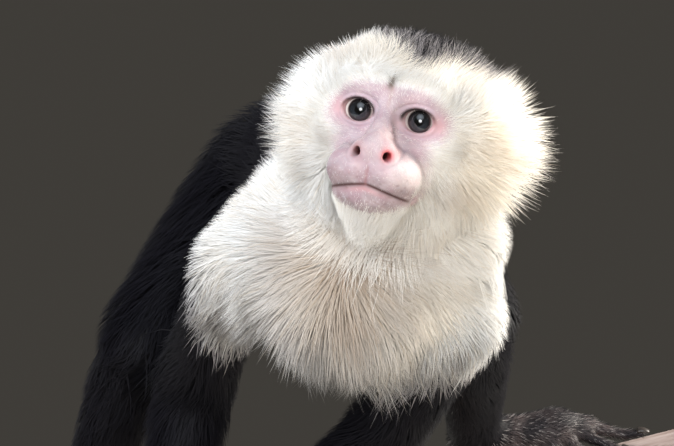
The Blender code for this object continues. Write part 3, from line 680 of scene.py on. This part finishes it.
def bump(tree, shader, height, strength, depth):
    feed(tree, shader, Normal=node(tree, "Bump", Height=height, Strength=strength, Distance=depth).outputs["Normal"])


def tint_of(tree):
    tint = node(tree, "VertexColor")
    tint.layer_name = "tint"
    return tint.outputs["Color"]


def fibres(tree, place, stretch, **inputs):
    """Noise with this many waves to each unit of place, along each of its axes."""
    stretched = node(tree, "Mapping", Vector=place, Scale=stretch)
    return node(tree, "TexNoise", Vector=stretched.outputs["Vector"], Scale=1.0, **inputs).outputs["Fac"]


def toned(tree, value, *stops):
    ramp = node(tree, "ValToRGB", Fac=value)
    while len(ramp.color_ramp.elements) < len(stops):
        ramp.color_ramp.elements.new(0.5)
    for element, (at, tone) in zip(ramp.color_ramp.elements, stops):
        element.position, element.color = at, (*tone, 1)
    return ramp.outputs["Color"]


# ---- skin
def shares(points):
    """How much each point belongs to each style, the way that hair grows there, and the number of its own shape."""
    weights = {style: np.zeros(len(points)) for style in STYLES}
    growth = np.zeros((len(points), 3))
    total, best, home = np.zeros(len(points)), np.zeros(len(points)), np.zeros(len(points), int)
    for number, shape in enumerate(SKIN):
        if shape.get("hollow"):
            continue
        low, high = reach(shape, 14)
        near = np.flatnonzero(((points > low) & (points < high)).all(axis=1))
        weight = np.exp(-np.maximum(distance(shape, points[near]), 0) / 3.0)
        weights[shape["style"]][near] += weight
        total[near] += weight
        if shape["kind"] == "cone" and shape["style"] not in ("head", "neck", "chest"):
            growth[near] += weight[:, None] * unit(shape["b"] - shape["a"])
        closer = weight > best[near]
        home[near[closer]] = number
        best[near[closer]] = weight[closer]
    total = np.maximum(total, 1e-9)
    weights = {style: weight / total for style, weight in weights.items()}
    # On the head the hair runs outwards from the middle of the face, and falls under the jaw.
    head = points @ HEAD
    flow = unit(head - (0, 11, -9)) + np.where(head[:, 2:] < -30, 0.9, 0) * ((0, 0.2, -1),)
    growth += weights["head"][:, None] * (unit(flow) @ HEAD.T) * total[:, None]
    # The neck, throat and breast hair falls away from the head, and spreads over the shoulders.
    fall = unit((points - WHORL) * (1, 0.6, 1)) + (0, 0, -0.30)
    hang = step_up(points[:, 2], -74, -58)[:, None] * step_up(-points[:, 1], -50, -20)[:, None]
    fall = unit(fall) * (1 - hang) + hang * (0, 0.1, -1.0)
    back = step_up(points[:, 1], 60, 100)[:, None]
    fall = unit(fall * (1 - back) + back * (0, 1.0, -0.45))
    growth += (weights["neck"] + weights["chest"])[:, None] * fall * total[:, None]
    # On the flanks it sinks a little towards the belly.
    growth += (weights["back"] * total)[:, None] * (0, 0, -0.25)
    return weights, growth, home


def creased(points, normals):
    """The folds of the face: lids, bags under the eyes, the wings of the nose, the lip, and the forehead's lines."""
    x, y, z = (points @ HEAD).T
    side = np.abs(x)
    ring = np.hypot((side - EYE_X) / 7.4, z / 5.4)
    depth = -0.55 * bell(ring - 1.42, 0.07) * step_up(z, 0, 3)
    for size, amount in ((1.38, 0.40), (1.72, 0.45), (2.12, 0.35)):
        depth -= amount * bell(ring - size, 0.06) * step_up(-z, 1, 4)
    depth += 0.35 * bell(ring - 1.12, 0.10)
    depth -= 0.55 * bell(x, 1.9) * step_up(-z, 13, 16) * step_up(z, -24, -22) * step_up(-y, 12, 18)
    depth -= 0.50 * bell(x, 0.7) * step_up(-z, 22.5, 24) * step_up(z, -33, -31.5)
    depth -= 0.22 * bell(x - 0.4, 0.9) * step_up(z, 2, 6)
    depth -= 0.55 * bell(np.hypot(side - 5.5, (z + 17.0) * 1.05) - 6.6, 0.7) * step_up(side, 6, 9)
    depth -= 0.14 * bell(side - (11.5 + (-16 - z) * 0.55), 1.1) * step_up(-z, 16, 20) * step_up(z, -36, -31)
    depth += 0.10 * wobble(points, 2.4, 21) * step_up(-z, 20, 28)
    depth -= 0.10 * np.clip(np.sin(z * 2.3 + 0.6 * wobble(points, 9, 22)), 0, 1) * step_up(z, 8, 12)
    return points + normals * (depth * step_up(-y, -18, -8))[:, None]


def make_skin():
    """The one skin of the whole animal, which is given back for the coat to grow on."""
    axes = grid_axes()
    points, quads = surface_nets(on_grid(SKIN, axes), axes)
    points = smoothed(points, quads, 2)
    normals, _ = normals_of(points, quads)
    weights, _, _ = shares(points)
    points = np.where((weights["head"] > 0.5)[:, None], creased(points, normals), points)
    obj = mesh_of("skin", points, quads, skin_colour(points, weights["head"], weights["paw"], weights["ear"]))
    made, tree, shader = principled("living_skin", Roughness=0.6, Specular_IOR_Level=0.28, Subsurface_Weight=0.10,
                                    Subsurface_Scale=0.003, Subsurface_Radius=(1.0, 0.35, 0.25))
    place = node(tree, "TexCoord").outputs["Object"]
    pores = node(tree, "TexVoronoi", Vector=place, Scale=1100.0)
    lines = node(tree, "TexNoise", Vector=place, Scale=420.0, Detail=6.0, Roughness=0.65)
    both = node(tree, "Math")
    both.operation = "MULTIPLY_ADD"
    both.inputs[1].default_value = 0.35
    tree.links.new(pores.outputs["Distance"], both.inputs[0])
    tree.links.new(lines.outputs["Fac"], both.inputs[2])
    feed(tree, shader, Base_Color=tint_of(tree))
    bump(tree, shader, both.outputs[0], 0.45, 0.0006)
    flesh = [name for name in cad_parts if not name.startswith(("eye_", "perch_", "stand_"))]
    finished(obj, made, "bare_skin", *flesh)
    return points, quads


# ---- coat
def across(points, start, end, sideways):
    """Each point's share of the way from start to end, and its two coordinates square to that line."""
    axis = end - start
    share = (points - start) @ axis / (axis @ axis)
    out = points - start - share[:, None] * axis
    first = unit(np.cross(axis, sideways))
    return share, out @ first, out @ np.cross(unit(axis), first)


def bake_place(roots, home):
    """Each root's place on an unwrap of the skin: a rectangle for each length of the body, wound round its axis."""
    place = np.zeros((len(roots), 2))
    patches = [BAKE_PATCH.get(shape["style"], "trunk") for shape in SKIN]
    for number, (patch, shape) in enumerate(zip(patches, SKIN)):
        mine = np.flatnonzero(home == number)
        if not len(mine):
            continue
        corner, cell, columns = BAKE_CELLS[patch]
        order = patches[:number].count(patch)
        if patch == "head":
            way = unit(roots[mine] @ HEAD - (0, 30, -5))
            turn, along = np.arctan2(way[:, 0], -way[:, 1]) / (2 * math.pi) + 0.5, np.arccos(way[:, 2]) / math.pi
        else:
            ends = (np.array(TRUNK[0]), np.array(TRUNK[-1])) if patch == "trunk" else (shape["a"], shape["b"])
            share, first, second = across(roots[mine], *ends, (0.31, 0.2, 0.93))
            turn, along = np.arctan2(second, first) / (2 * math.pi) + 0.5, np.clip(share, -0.4, 1.4) / 1.8 + 0.22
            if patch == "tail":
                turn, along = (order + np.clip(share, 0, 1)) / patches.count("tail"), turn
        row, column = divmod(order, columns) if columns else (0, 0)
        low = np.array(corner) + np.array(cell) * (column, row)
        place[mine] = low + (0.03 + 0.94 * np.stack([turn, along], axis=1)) * cell
    return place


def by_features(head):
    """How far out each point is round its eye, where 1 is the lids' edge, and how far above the mouth."""
    x, _, z = head.T
    return np.hypot((np.abs(x) - EYE_X) / 7.4, z / 5.6), z - mouth_line(x)[2]


def sprouting(head, head_share):
    """Where the lashes of the upper lids grow, and the dark bristles of the lips."""
    x, y, z = head.T
    ring, above = by_features(head)
    front = (head_share > 0.9) & (y < 8)
    lashes = front & (ring > 0.98) & (ring < 1.12) & (z > 1.6)
    return lashes, front & (above > 0.5) & (above < 1.7) & (x > 1) & (x < 18)


def plant(points, quads, rng):
    """The roots of the tufts on the skin, and the skin's normals there."""
    normals, areas = normals_of(points, quads)
    middles = points[quads].mean(axis=1)
    weights, _, _ = shares(middles)
    density = sum(weights[style] * row[1] for style, row in STYLES.items())
    head = middles @ HEAD
    x, y, z = head.T
    bare = bareness(head) * weights["head"]
    edge = bell(from_edge(head) + 2.5, 4.0) * step_up(-y, -30, -18) * weights["head"]
    density = density * (1 - bare) + BARE_DENSITY * bare + EDGE_DENSITY * edge
    ring, above = by_features(head)
    pits = np.hypot(np.abs(x) - 6.9, z + 18.2)
    kept_bare = (ring < 1.45) | (np.abs(above) < 1.6) & (np.abs(x) < 21) | (pits < 4.6)
    density *= np.where((y < 12) & kept_bare, 0.0, 1.0)
    density *= 1 - 0.5 * step_up(bare, 0.9, 1.0) - 0.3 * step_up(bare, 0.97, 1.0) * step_up(-z, 16, 20)
    lashes, bristles = sprouting(head, weights["head"])
    density = np.where(lashes, LASH_DENSITY, np.where(bristles, BRISTLE_DENSITY, density))
    wanted = areas * density * TUFTS
    count = np.floor(wanted + rng.random(len(wanted))).astype(int)
    corners = quads[np.repeat(np.arange(len(quads)), count)]
    u, v = rng.random((2, len(corners)))
    parts = np.stack([(1 - u) * (1 - v), u * (1 - v), u * v, (1 - u) * v], axis=1)[..., None]
    return (points[corners] * parts).sum(axis=1), unit((normals[corners] * parts).sum(axis=1))


def locks(roots, rng):
    """The number of the root at the middle of each root's lock of hair."""
    middles = rng.choice(len(roots), max(len(roots) // LOCK, 1), replace=False)
    tree = kdtree.KDTree(len(middles))
    for number, which in enumerate(middles):
        tree.insert(roots[which], number)
    tree.balance()
    return middles[[tree.find(root)[1] for root in roots]]


def comb(roots, normals, rng):
    """Where each tuft bends and ends, its width, its number of lengths, its weights, and its skin shape's number."""
    weights, growth, home = shares(roots)
    count, head, on_head = len(roots), roots @ HEAD, weights["head"]
    x, y, z = head.T
    bare = bareness(head) * on_head
    lift, _, width = (sum(weights[style] * row[n] for style, row in STYLES.items()) for n in range(3))
    ruff = step_up(np.abs(x), 20, 32) * step_up(z, -42, -30) * on_head
    lift += 16 * ruff + 8 * on_head * step_up(z, 8, 20)
    depth = np.clip(-at_points(HULL, roots), 0.3, DEEPEST)
    lift *= 1 - 0.5 * on_head * step_up(-depth, -12, -2)
    strength = np.linalg.norm(growth, axis=1, keepdims=True)
    growth = growth + 0.34 * np.stack([wobble(roots, 11, seed) for seed in (31, 32, 33)], axis=1) * strength
    growth += rng.normal(size=(count, 3)) * 0.16 * np.linalg.norm(growth, axis=1, keepdims=True)
    lie = unit(growth - (growth * normals).sum(axis=1)[:, None] * normals)
    lift = np.radians(lift + rng.normal(size=count) * 5)
    high = np.maximum(depth * (0.99 - 0.26 * rng.random(count) ** 2), 0.35 + 0.75 * (1 - bare))
    run = np.clip(high / np.tan(np.clip(lift, 0.15, 1.2)), 3.0, 46)
    long = step_up(depth, 1.0, 5.0) * (1 - step_up(bare, 0.45, 0.8))
    sparse = np.maximum(bare, 0.8 * np.maximum(weights["paw"], weights["ear"]))
    short_run = rng.uniform(6.0, 10.0, count) * (1 - sparse) + rng.uniform(1.0, 2.2, count) * sparse
    run = run * long + (1 - long) * short_run
    tips = roots + lie * run[:, None] + normals * high[:, None]
    hanging = weights["chest"] * step_up(-roots[:, 2], 82, 102) * step_up(-roots[:, 1], -75, -50)
    beard = on_head * step_up(-z, 39, 44) * step_up(-y, -22, -8)
    tips[:, 2] -= hanging * rng.uniform(2, 19, count) + beard * rng.uniform(2, 9, count)
    # Neighbours lean together into locks.
    nearest = locks(roots, rng)
    pull = (0.10 + 0.30 * rng.random(count)) * long * (1 - bare)
    tips += pull[:, None] * (tips[nearest] - tips) * PULL
    # The tips end at the outside of the coat.
    fringe = np.maximum.reduce([ruff, 1.2 * hanging, 0.7 * beard, 0.5 * on_head * step_up(z, 8, 22)])
    inset = np.maximum(depth - high, 0) * 0.9 + 0.4 - 5.5 * fringe * rng.random(count) ** 3
    inset += 2.5 * fringe * np.clip(wobble(roots, 6, 36), -1, 1)
    for _ in range(2):
        tips -= outwards(HULL, tips) * np.clip(at_points(HULL, tips) + inset, -9, 14)[:, None] * long[:, None]
    bends = roots + (tips - roots) * BEND_AT + normals * (high * BEND_RISE)[:, None]
    bends += np.cross(lie, normals) * (rng.normal(size=count) * 0.07 * run)[:, None]
    bends -= normals * np.maximum(at_points(HULL, bends) + 0.10 * depth + 0.3, 0)[:, None]
    width = width * (0.55 + 0.45 * step_up(depth, 1, 8)) * (1 - bare) + 0.12 * bare
    width *= rng.uniform(0.75, 1.25, count)
    for chosen, size, away, thick in zip(sprouting(head, on_head), (1.3, 1.1), ((0, -0.5, 0.65), (0, -0.4, -1.0)),
                                         (0.15, 0.13)):
        way = unit(normals[chosen] * 0.6 + np.array(away) @ HEAD.T + rng.normal(size=(chosen.sum(), 3)) * 0.2)
        way *= size * rng.uniform(0.7, 1.2, (chosen.sum(), 1))
        bends[chosen] = roots[chosen] + way * 0.5 + normals[chosen] * 0.15
        tips[chosen] = roots[chosen] + way
        width[chosen] = thick
    size, pale = run + high, whiteness(roots, on_head) > -4
    lengths = 1 + (size > np.where(pale, *TWO_LENGTHS)) + (size > np.where(pale, *THREE_LENGTHS))
    return tips, bends, width, lengths, weights, home


def tuft_mesh(name, lengths, roots, bends, tips, normals, facing, width, colours, places):
    """Tapered three-sided tufts, each of that many lengths and closed at its root, joined in one mesh."""
    colours = colours[:, ((0, 3), (0, 1, 3), (0, 1, 2, 3))[lengths - 1]]
    steps = np.linspace(0, 1, lengths + 1)[None, :, None]
    line = (1 - steps) ** 2 * (roots - normals * ROOT_DEPTH)[:, None] + 2 * steps * (1 - steps) * bends[:, None] \
        + steps**2 * tips[:, None]
    ahead = unit(np.gradient(line, axis=1))
    up = unit(normals[:, None] - (normals[:, None] * ahead).sum(axis=2, keepdims=True) * ahead)
    side = np.cross(ahead, up)
    taper, ridge = (1 - steps**1.7) * width[:, None, None], 0.45
    ring = [line - side * taper / 2, line + side * taper / 2, line + up * taper * ridge]
    ring_normals = [up - 0.8 * side, up + 0.8 * side, up]
    count, size = len(roots), 3 * lengths + 1
    points, shading, tones = np.empty((3, count, size, 3))
    patches = np.empty((count, size, 2))
    for k in range(lengths):
        for n in range(3):
            points[:, 3 * k + n], shading[:, 3 * k + n] = ring[n][:, k], ring_normals[n][:, k]
            tones[:, 3 * k + n] = colours[:, k]
            patches[:, 3 * k + n] = places + (0.0015 * (n - 1), 0.003 * (k / lengths - 0.5))
    points[:, -1], shading[:, -1], tones[:, -1] = line[:, -1], up[:, -1], colours[:, -1]
    patches[:, -1] = places + (0, 0.0015)
    faces = [(0, 1, 2)]
    for k in range(0, 3 * lengths, 3):
        for a, b in ((k, k + 1), (k + 1, k + 2), (k + 2, k)):
            faces += [(b, a, size - 1)] if k + 4 == size else [(b, a, b + 3), (b + 3, a, a + 3)]
    everywhere = np.array(faces)[None] + (np.arange(count) * size)[:, None, None]
    own, shared = 0.40, 0.85  # how much a tuft is lit by its own shape, and by the way that the coat faces
    shading = unit(own * unit(shading) + shared * facing[:, None])
    return mesh_of(name, points.reshape(-1, 3), everywhere.reshape(-1, 3), tones.reshape(-1, 3),
                   shading.reshape(-1, 3), patches.reshape(-1, 2))


def coat_material(name, **inputs):
    made, tree, shader = principled(name, **inputs)
    feed(tree, shader, Base_Color=tint_of(tree))
    return made


def make_coat(points, quads):
    rng = np.random.default_rng(11)
    roots, normals = plant(points, quads, rng)
    tips, bends, width, lengths, weights, home = comb(roots, normals, rng)
    count, head, on_head = len(roots), roots @ HEAD, weights["head"]
    white = whiteness(roots, on_head)
    own, bright = rng.normal(size=count) * 2.6, rng.uniform(0.92, 1.05, count)
    # Each tuft is darker and warmer towards its root: painted shade deep in the coat.
    colours = fur_colour(roots, on_head, own, bright)[:, None] * ROOT_SHADE_TO_TIP[:, None]
    colours = np.clip(colours * WARM_SHADED_ROOTS, 0, 1)
    colours[(rng.random(count) < 0.10) & (white > 3)] *= STREAK
    lashes, bristles = sprouting(head, on_head)
    colours[lashes | bristles] = (0.060, 0.042, 0.040)
    # Some pale hairs on the hands and feet: partly their own pale hair, partly painted sheen on the dark hair.
    colours[(weights["paw"] > 0.5) & (rng.random(count) < 0.15)] = (0.30, 0.275, 0.265)
    # White hair in the light faces partly towards it, so that its shading is soft.
    beard = on_head * step_up(-head[:, 2], 36, 44) * step_up(-head[:, 1], -26, -10)
    cheek_glow = on_head * spot(head, (34, 18, -15), (11, 16, 13))
    facing = normals + (1.6 * beard + 0.40 * on_head + 0.40 * weights["neck"])[:, None] * unit((0, -1, 0.35))
    facing = unit(facing + cheek_glow[:, None] * unit((0.6, -0.75, 0.25)))
    places = bake_place(roots, home)
    white_coat = coat_material("white_coat", Roughness=0.75, Specular_IOR_Level=0.25, Sheen_Weight=0.28,
                               Subsurface_Weight=0.12, Subsurface_Scale=0.002, Subsurface_Radius=(1.0, 0.9, 0.8))
    black_coat = coat_material("black_coat", Roughness=0.60, Specular_IOR_Level=0.14, Sheen_Weight=0.02)
    total = 0
    known = (roots, bends, tips, normals, facing, width, colours, places)
    for tone, name, material in ((True, "white", white_coat), (False, "black", black_coat)):
        for size in (1, 2, 3):
            chosen = np.flatnonzero(((white > 0) == tone) & (lengths == size))
            triangles = 6 * size - 2
            pieces = max(1, math.ceil(len(chosen) / (COAT_PIECE // triangles)))
            for number, part in enumerate(np.array_split(chosen, pieces)):
                if len(part):
                    obj = tuft_mesh(f"coat_{name}_{size}_{number + 1}", size, *(row[part] for row in known))
                    finished(obj, material, name + "_coat")
                    total += len(part) * triangles
    print("tufts", count, "triangles", total)


# ---- eyes
def make_eyes():
    """Each eyeball with its white, iris and pupil, and the cornea's bulge."""
    made, tree, shader = principled("wet_eye", Roughness=0.12, Coat_Weight=1.0, Coat_Roughness=0.02,
                                    Specular_IOR_Level=0.5)
    feed(tree, shader, Base_Color=tint_of(tree))
    rng = np.random.default_rng(5)
    rings, spokes = 63, 64
    look = HEAD @ np.array(Matrix.Rotation(GAZE, 3, "Z") @ Matrix.Rotation(math.radians(-1), 3, "X"))
    polar = np.linspace(0, 1, rings + 2)[1:-1] ** 1.35 * math.pi
    turn = np.arange(spokes) * 2 * math.pi / spokes
    angle, spin = (np.append(grid, ends) for grid, ends in
                   zip(np.meshgrid(polar, turn, indexing="ij"), ((0, math.pi), (0, 0))))
    share = angle / CORNEA
    radius = EYE_RADIUS - CORNEA_INSET + CORNEA_RISE * (1 - np.clip(share, 0, 1) ** 2) ** 1.3
    local = np.stack([np.sin(angle) * np.cos(spin), -np.cos(angle), np.sin(angle) * np.sin(spin)], axis=1)
    first = np.arange(rings * spokes).reshape(rings, spokes)
    after = np.roll(first, -1, axis=1)
    belt = np.stack([first[:-1], after[:-1], after[1:], first[:-1], after[1:], first[1:]], axis=2).reshape(-1, 3)
    front, back = np.full(spokes, len(angle) - 2), np.full(spokes, len(angle) - 1)
    faces = np.concatenate([belt, np.stack([front, after[0], first[0]], axis=1),
                            np.stack([back, first[-1], after[-1]], axis=1)])[:, ::-1]
    for name, side in SIDES:
        lines = sum(rng.uniform(0.4, 1) * np.sin(k * spin + rng.uniform(0, 6.3)) for k in (7, 13, 19, 29)) / 2.2
        white = mixed((0.62, 0.55, 0.50), ((0.52, 0.30, 0.26), step_up(share, 1.25, 1.9)))
        # the iris is darker in its upper half and lighter below: painted shade of the upper lid
        iris = mixed((0.005, 0.005, 0.005), ((0.024, 0.028, 0.034), 0.45 + 0.10 * lines - 0.45 * np.sin(spin)))
        ball = mixed(iris, (white, step_up(share, 0.93, 1.03)),
                     ((0.004, 0.003, 0.003), bell(share - 0.92, 0.14) * 0.97))
        colour = mixed((0.002, 0.002, 0.002), (ball, step_up(share, 0.33, 0.38)))  # with its pupil
        points = (local * radius[:, None]) @ look.T + in_head((side * EYE_X, EYE_Y, 0))
        finished(mesh_of("eyeball_" + name, points, faces, colour), made, "eye", "eye_" + name)


# ---- nails
def make_nails():
    """A curved nail on the tip of each finger and toe, all in one piece."""
    made, tree, shader = principled("nail", Roughness=0.35)
    mottle = node(tree, "TexNoise", Scale=500.0).outputs["Fac"]
    feed(tree, shader, Base_Color=toned(tree, mottle, (0, (0.012, 0.010, 0.010)), (1, (0.075, 0.060, 0.052))))
    side = 9  # points along each side of a nail's outer and inner sheets
    layer, v, u = (grid.ravel() for grid in np.meshgrid((1.0, 0.55), np.linspace(-0.5, 1.15, side),
                                                        np.linspace(-1, 1, side), indexing="ij"))
    bend = u * 0.80 * np.sqrt(np.maximum(0.05, 1 - np.maximum(0, v - 0.35) ** 2 / 0.70)) * 1.05
    wide = 0.98 * np.sin(bend) * layer**0.4
    rise = layer * (0.98 * np.cos(bend) - 0.50 * np.maximum(0, v) ** 2)
    sheet = np.arange(side**2).reshape(side, side)
    quads = np.stack([sheet[:-1, :-1], sheet[:-1, 1:], sheet[1:, 1:], sheet[1:, :-1]], axis=2).reshape(-1, 4)
    rim = np.concatenate([sheet[0], sheet[1:, -1], sheet[-1, -2::-1], sheet[-2:0:-1, 0]])
    after = np.roll(rim, -1)
    walls = np.stack([after, rim, rim + sheet.size, after + sheet.size], axis=1)
    quads = np.concatenate([quads, quads[:, ::-1] + sheet.size, walls])
    points, faces = [], []
    for number, (before, tip, size, grip) in enumerate(paws()[1]):
        ahead = unit(tip - before)
        up = tip - grip.centre - ((tip - grip.centre) @ grip.along) * grip.along
        up = unit(up - (up @ ahead) * ahead)
        points.append(tip + size * (np.outer(v * 1.15, ahead) + np.outer(wide, np.cross(ahead, up))
                                    + np.outer(rise, up)))
        faces.append(quads + 2 * sheet.size * number)
    obj = mesh_of("nails", np.concatenate(points), np.concatenate(faces))
    bm = bmesh.new()
    bm.from_mesh(obj.data)
    bmesh.ops.recalc_face_normals(bm, faces=bm.faces[:])
    bm.to_mesh(obj.data)
    bm.free()
    finished(obj, made, "dark_skin")


# ---- perch and stand
def make_perch():
    """The cut branch: pale, almost bare wood with grain, cracks and knots, sawn at its three ends."""
    shapes = [cone(*limb, blend, sawn=True) for limb, blend in ((FEET_LIMB, 8), (STEM, 10), (HANDS_LIMB, 16))]
    axes = [np.arange(low, high, 2.0) for low, high in zip(*box_round(shapes, 4))]
    points, quads = surface_nets(on_grid(shapes, axes), axes)
    points = smoothed(points, quads, 1)
    normals, _ = normals_of(points, quads)
    # Where each point is along and across its own limb, whose grain starts at a place of its own.
    grain, ends, best = np.zeros((len(points), 3)), np.zeros(len(points)), np.full(len(points), FAR)
    for number, shape in enumerate(shapes):
        away, axis = distance(shape, points), shape["b"] - shape["a"]
        share, first, second = across(points, shape["a"], shape["b"], (0, 0, 1))
        closer = away < best
        along = share * np.linalg.norm(axis) + GRAIN_APART * number
        grain[closer] = np.stack([along, first, second], axis=1)[closer]
        ends[closer] = (np.abs((points - shape["b"]) @ unit(axis)) < 1.0)[closer]
        best = np.minimum(best, away)
    depth = 0.55 * wobble(grain * (0.5, 1, 1), 24, 43) + 0.10 * wobble(grain * (0.08, 1, 1), 3.2, 44) - 0.4
    points = points + normals * (depth * (1 - ends))[:, None]
    rings = np.sin(np.hypot(grain[:, 1], grain[:, 2]) * 2.6 + 0.8 * wobble(grain, 12, 47))
    sawn = mixed((0.58, 0.40, 0.24), ((0.36, 0.22, 0.12), 0.5 + 0.5 * rings))
    colour = mixed(
        (0.36, 0.28, 0.25),
        ((0.56, 0.46, 0.43), 0.5 + 0.5 * wobble(grain * (0.3, 1, 1), 12, 45)),
        ((0.27, 0.225, 0.205), 0.5 * step_up(wobble(grain * (0.5, 1, 1), 26, 46), 0.2, 0.9)),
        (sawn, ends),
    )
    obj = mesh_of("branch", points, quads, colour)
    obj.data.set_sharp_from_angle(angle=math.radians(55))
    stored = obj.data.attributes.new("grain", "FLOAT_VECTOR", "POINT")
    stored.data.foreach_set("vector", flat(grain))
    made, tree, shader = principled("weathered_wood", Roughness=0.8, Specular_IOR_Level=0.3)
    place = node(tree, "Attribute")
    place.attribute_name = "grain"

    def drawn_out(length, thickness, detail, distortion):
        """Noise drawn out along the wood: the length and thickness of its fibres are in millimetres."""
        return fibres(tree, place.outputs["Vector"], (1 / length, 1 / thickness, 1 / thickness), Detail=detail,
                      Distortion=distortion)

    fine = drawn_out(9, 0.7, 4.0, 0.0)
    white, dark = (1.0, 1.0, 1.0), (0.22, 0.16, 0.13)
    colour = tint_of(tree)
    for layer in (
        toned(tree, drawn_out(60, 5, 6.0, 0.4), (0.36, (0.62, 0.56, 0.53)), (0.62, white)),
        toned(tree, fine, (0.30, (0.84, 0.82, 0.80)), (0.65, white)),
        toned(tree, drawn_out(75, 4.2, 4.0, 0.25), (0.0, white), (0.412, white), (0.422, dark), (0.427, dark),
              (0.440, white), (1.0, white)),  # cracks
    ):
        mix = node(tree, "Mix", Factor=1.0)
        mix.data_type, mix.blend_type = "RGBA", "MULTIPLY"
        tree.links.new(colour, mix.inputs[6])
        tree.links.new(layer, mix.inputs[7])
        colour = mix.outputs[2]
    feed(tree, shader, Base_Color=colour)
    bump(tree, shader, fine, 0.35, 0.0005)
    finished(obj, made, "branch_wood", "perch_branch", "perch_fork")


def finish_stand():
    wood = principled("dark_varnished_wood", Roughness=0.32, Coat_Weight=0.25, Coat_Roughness=0.15)
    steel = principled("brushed_steel", Metallic=1.0, Roughness=0.36)
    for (made, tree, shader), slot, nodes, stretch, figure, dark, light, strength, depth in (
        (wood, "base_wood", ("stand_base",), (3, 45, 45), {"Detail": 8.0, "Roughness": 0.6, "Distortion": 0.6},
         (0.35, (0.030, 0.014, 0.007)), (0.68, (0.110, 0.052, 0.024)), 0.12, 0.0004),
        (steel, "rod_steel", ("stand_rod_1", "stand_rod_2"), (700, 700, 12), {"Detail": 3.0},
         (0, (0.20, 0.20, 0.21)), (1, (0.42, 0.42, 0.43)), 0.1, 0.0002),
    ):
        value = fibres(tree, node(tree, "TexCoord").outputs["Object"], stretch, **figure)
        feed(tree, shader, Base_Color=toned(tree, value, dark, light))
        bump(tree, shader, value, strength, depth)
        for name in nodes:
            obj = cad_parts[name]
            obj.data.materials.clear()
            obj.data.materials.append(made)


# ---- studio
def make_studio():
    """The camera, a plain pale floor, and the lights: sun from behind on the animal's left, and soft light in front."""
    scene = bpy.context.scene
    camera = bpy.data.objects.new("camera", bpy.data.cameras.new("camera"))
    scene.collection.objects.link(camera)
    camera.data.lens, camera.data.sensor_width = 200, 36
    back = np.array((0, -math.cos(CAMERA_DROP), math.sin(CAMERA_DROP)))
    camera.location = into_frame(np.array(CAMERA_AIM) + back * CAMERA_AWAY)
    look = Vector(-back).to_track_quat("-Z", "Y").to_matrix()
    camera.rotation_euler = (look @ Matrix.Rotation(CAMERA_ROLL, 3, "Z")).to_euler()
    scene.camera = camera
    floor = bpy.data.objects.new("floor", bpy.data.meshes.new("floor"))
    bm = bmesh.new()
    bmesh.ops.create_circle(bm, cap_ends=True, segments=96, radius=0.75)
    bmesh.ops.translate(bm, verts=bm.verts, vec=(0, 0, -0.0005))
    bm.to_mesh(floor.data)
    bm.free()
    scene.collection.objects.link(floor)
    floor.data.materials.append(principled("pale_floor", Roughness=0.7, Base_Color=(0.40, 0.39, 0.37, 1))[0])
    scene.world = bpy.data.worlds.new("studio")
    scene.world.use_nodes = True
    tree = scene.world.node_tree
    feed(tree, tree.nodes["Background"], Color=(0.050, 0.046, 0.040, 1), Strength=1.0)
    aim = Vector(into_frame(np.array((0, 60, -60))))
    for name, place, size, power, colour, spread in (
        ("key", (1.35, 0.72, 1.10), 0.55, 74, (1.0, 0.95, 0.87), 180),
        ("front", (-0.10, -2.2, 0.70), 1.0, 29, (0.97, 0.98, 1.0), 180),
        ("sky", (-0.35, -1.35, 1.5), 2.2, 5.5, (0.78, 0.88, 1.0), 75),
        ("cheek_glow", (1.7, -1.5, 0.05), 1.4, 32, (1.0, 0.94, 0.85), 180),
        ("fill", (-1.7, -0.9, 0.7), 1.4, 48, (0.92, 0.95, 1.0), 180),
        ("back", (-0.9, 1.8, 1.2), 1.2, 30, (0.92, 0.95, 1.0), 180),
    ):
        light = bpy.data.objects.new(name, bpy.data.lights.new(name, "AREA"))
        light.data.size, light.data.energy, light.data.color = size, power, colour
        light.data.shape, light.data.spread = "DISK", math.radians(spread)
        light.location = aim + Vector(place)
        light.rotation_euler = (-Vector(place)).to_track_quat("-Z", "Y").to_euler()
        light.visible_glossy = name in ("front", "key", "sky")
        scene.collection.objects.link(light)
    scene.view_settings.view_transform = "Standard"


make_studio()
skin_points, skin_quads = make_skin()
make_eyes()
make_coat(skin_points, skin_quads)
make_nails()
make_perch()
finish_stand()
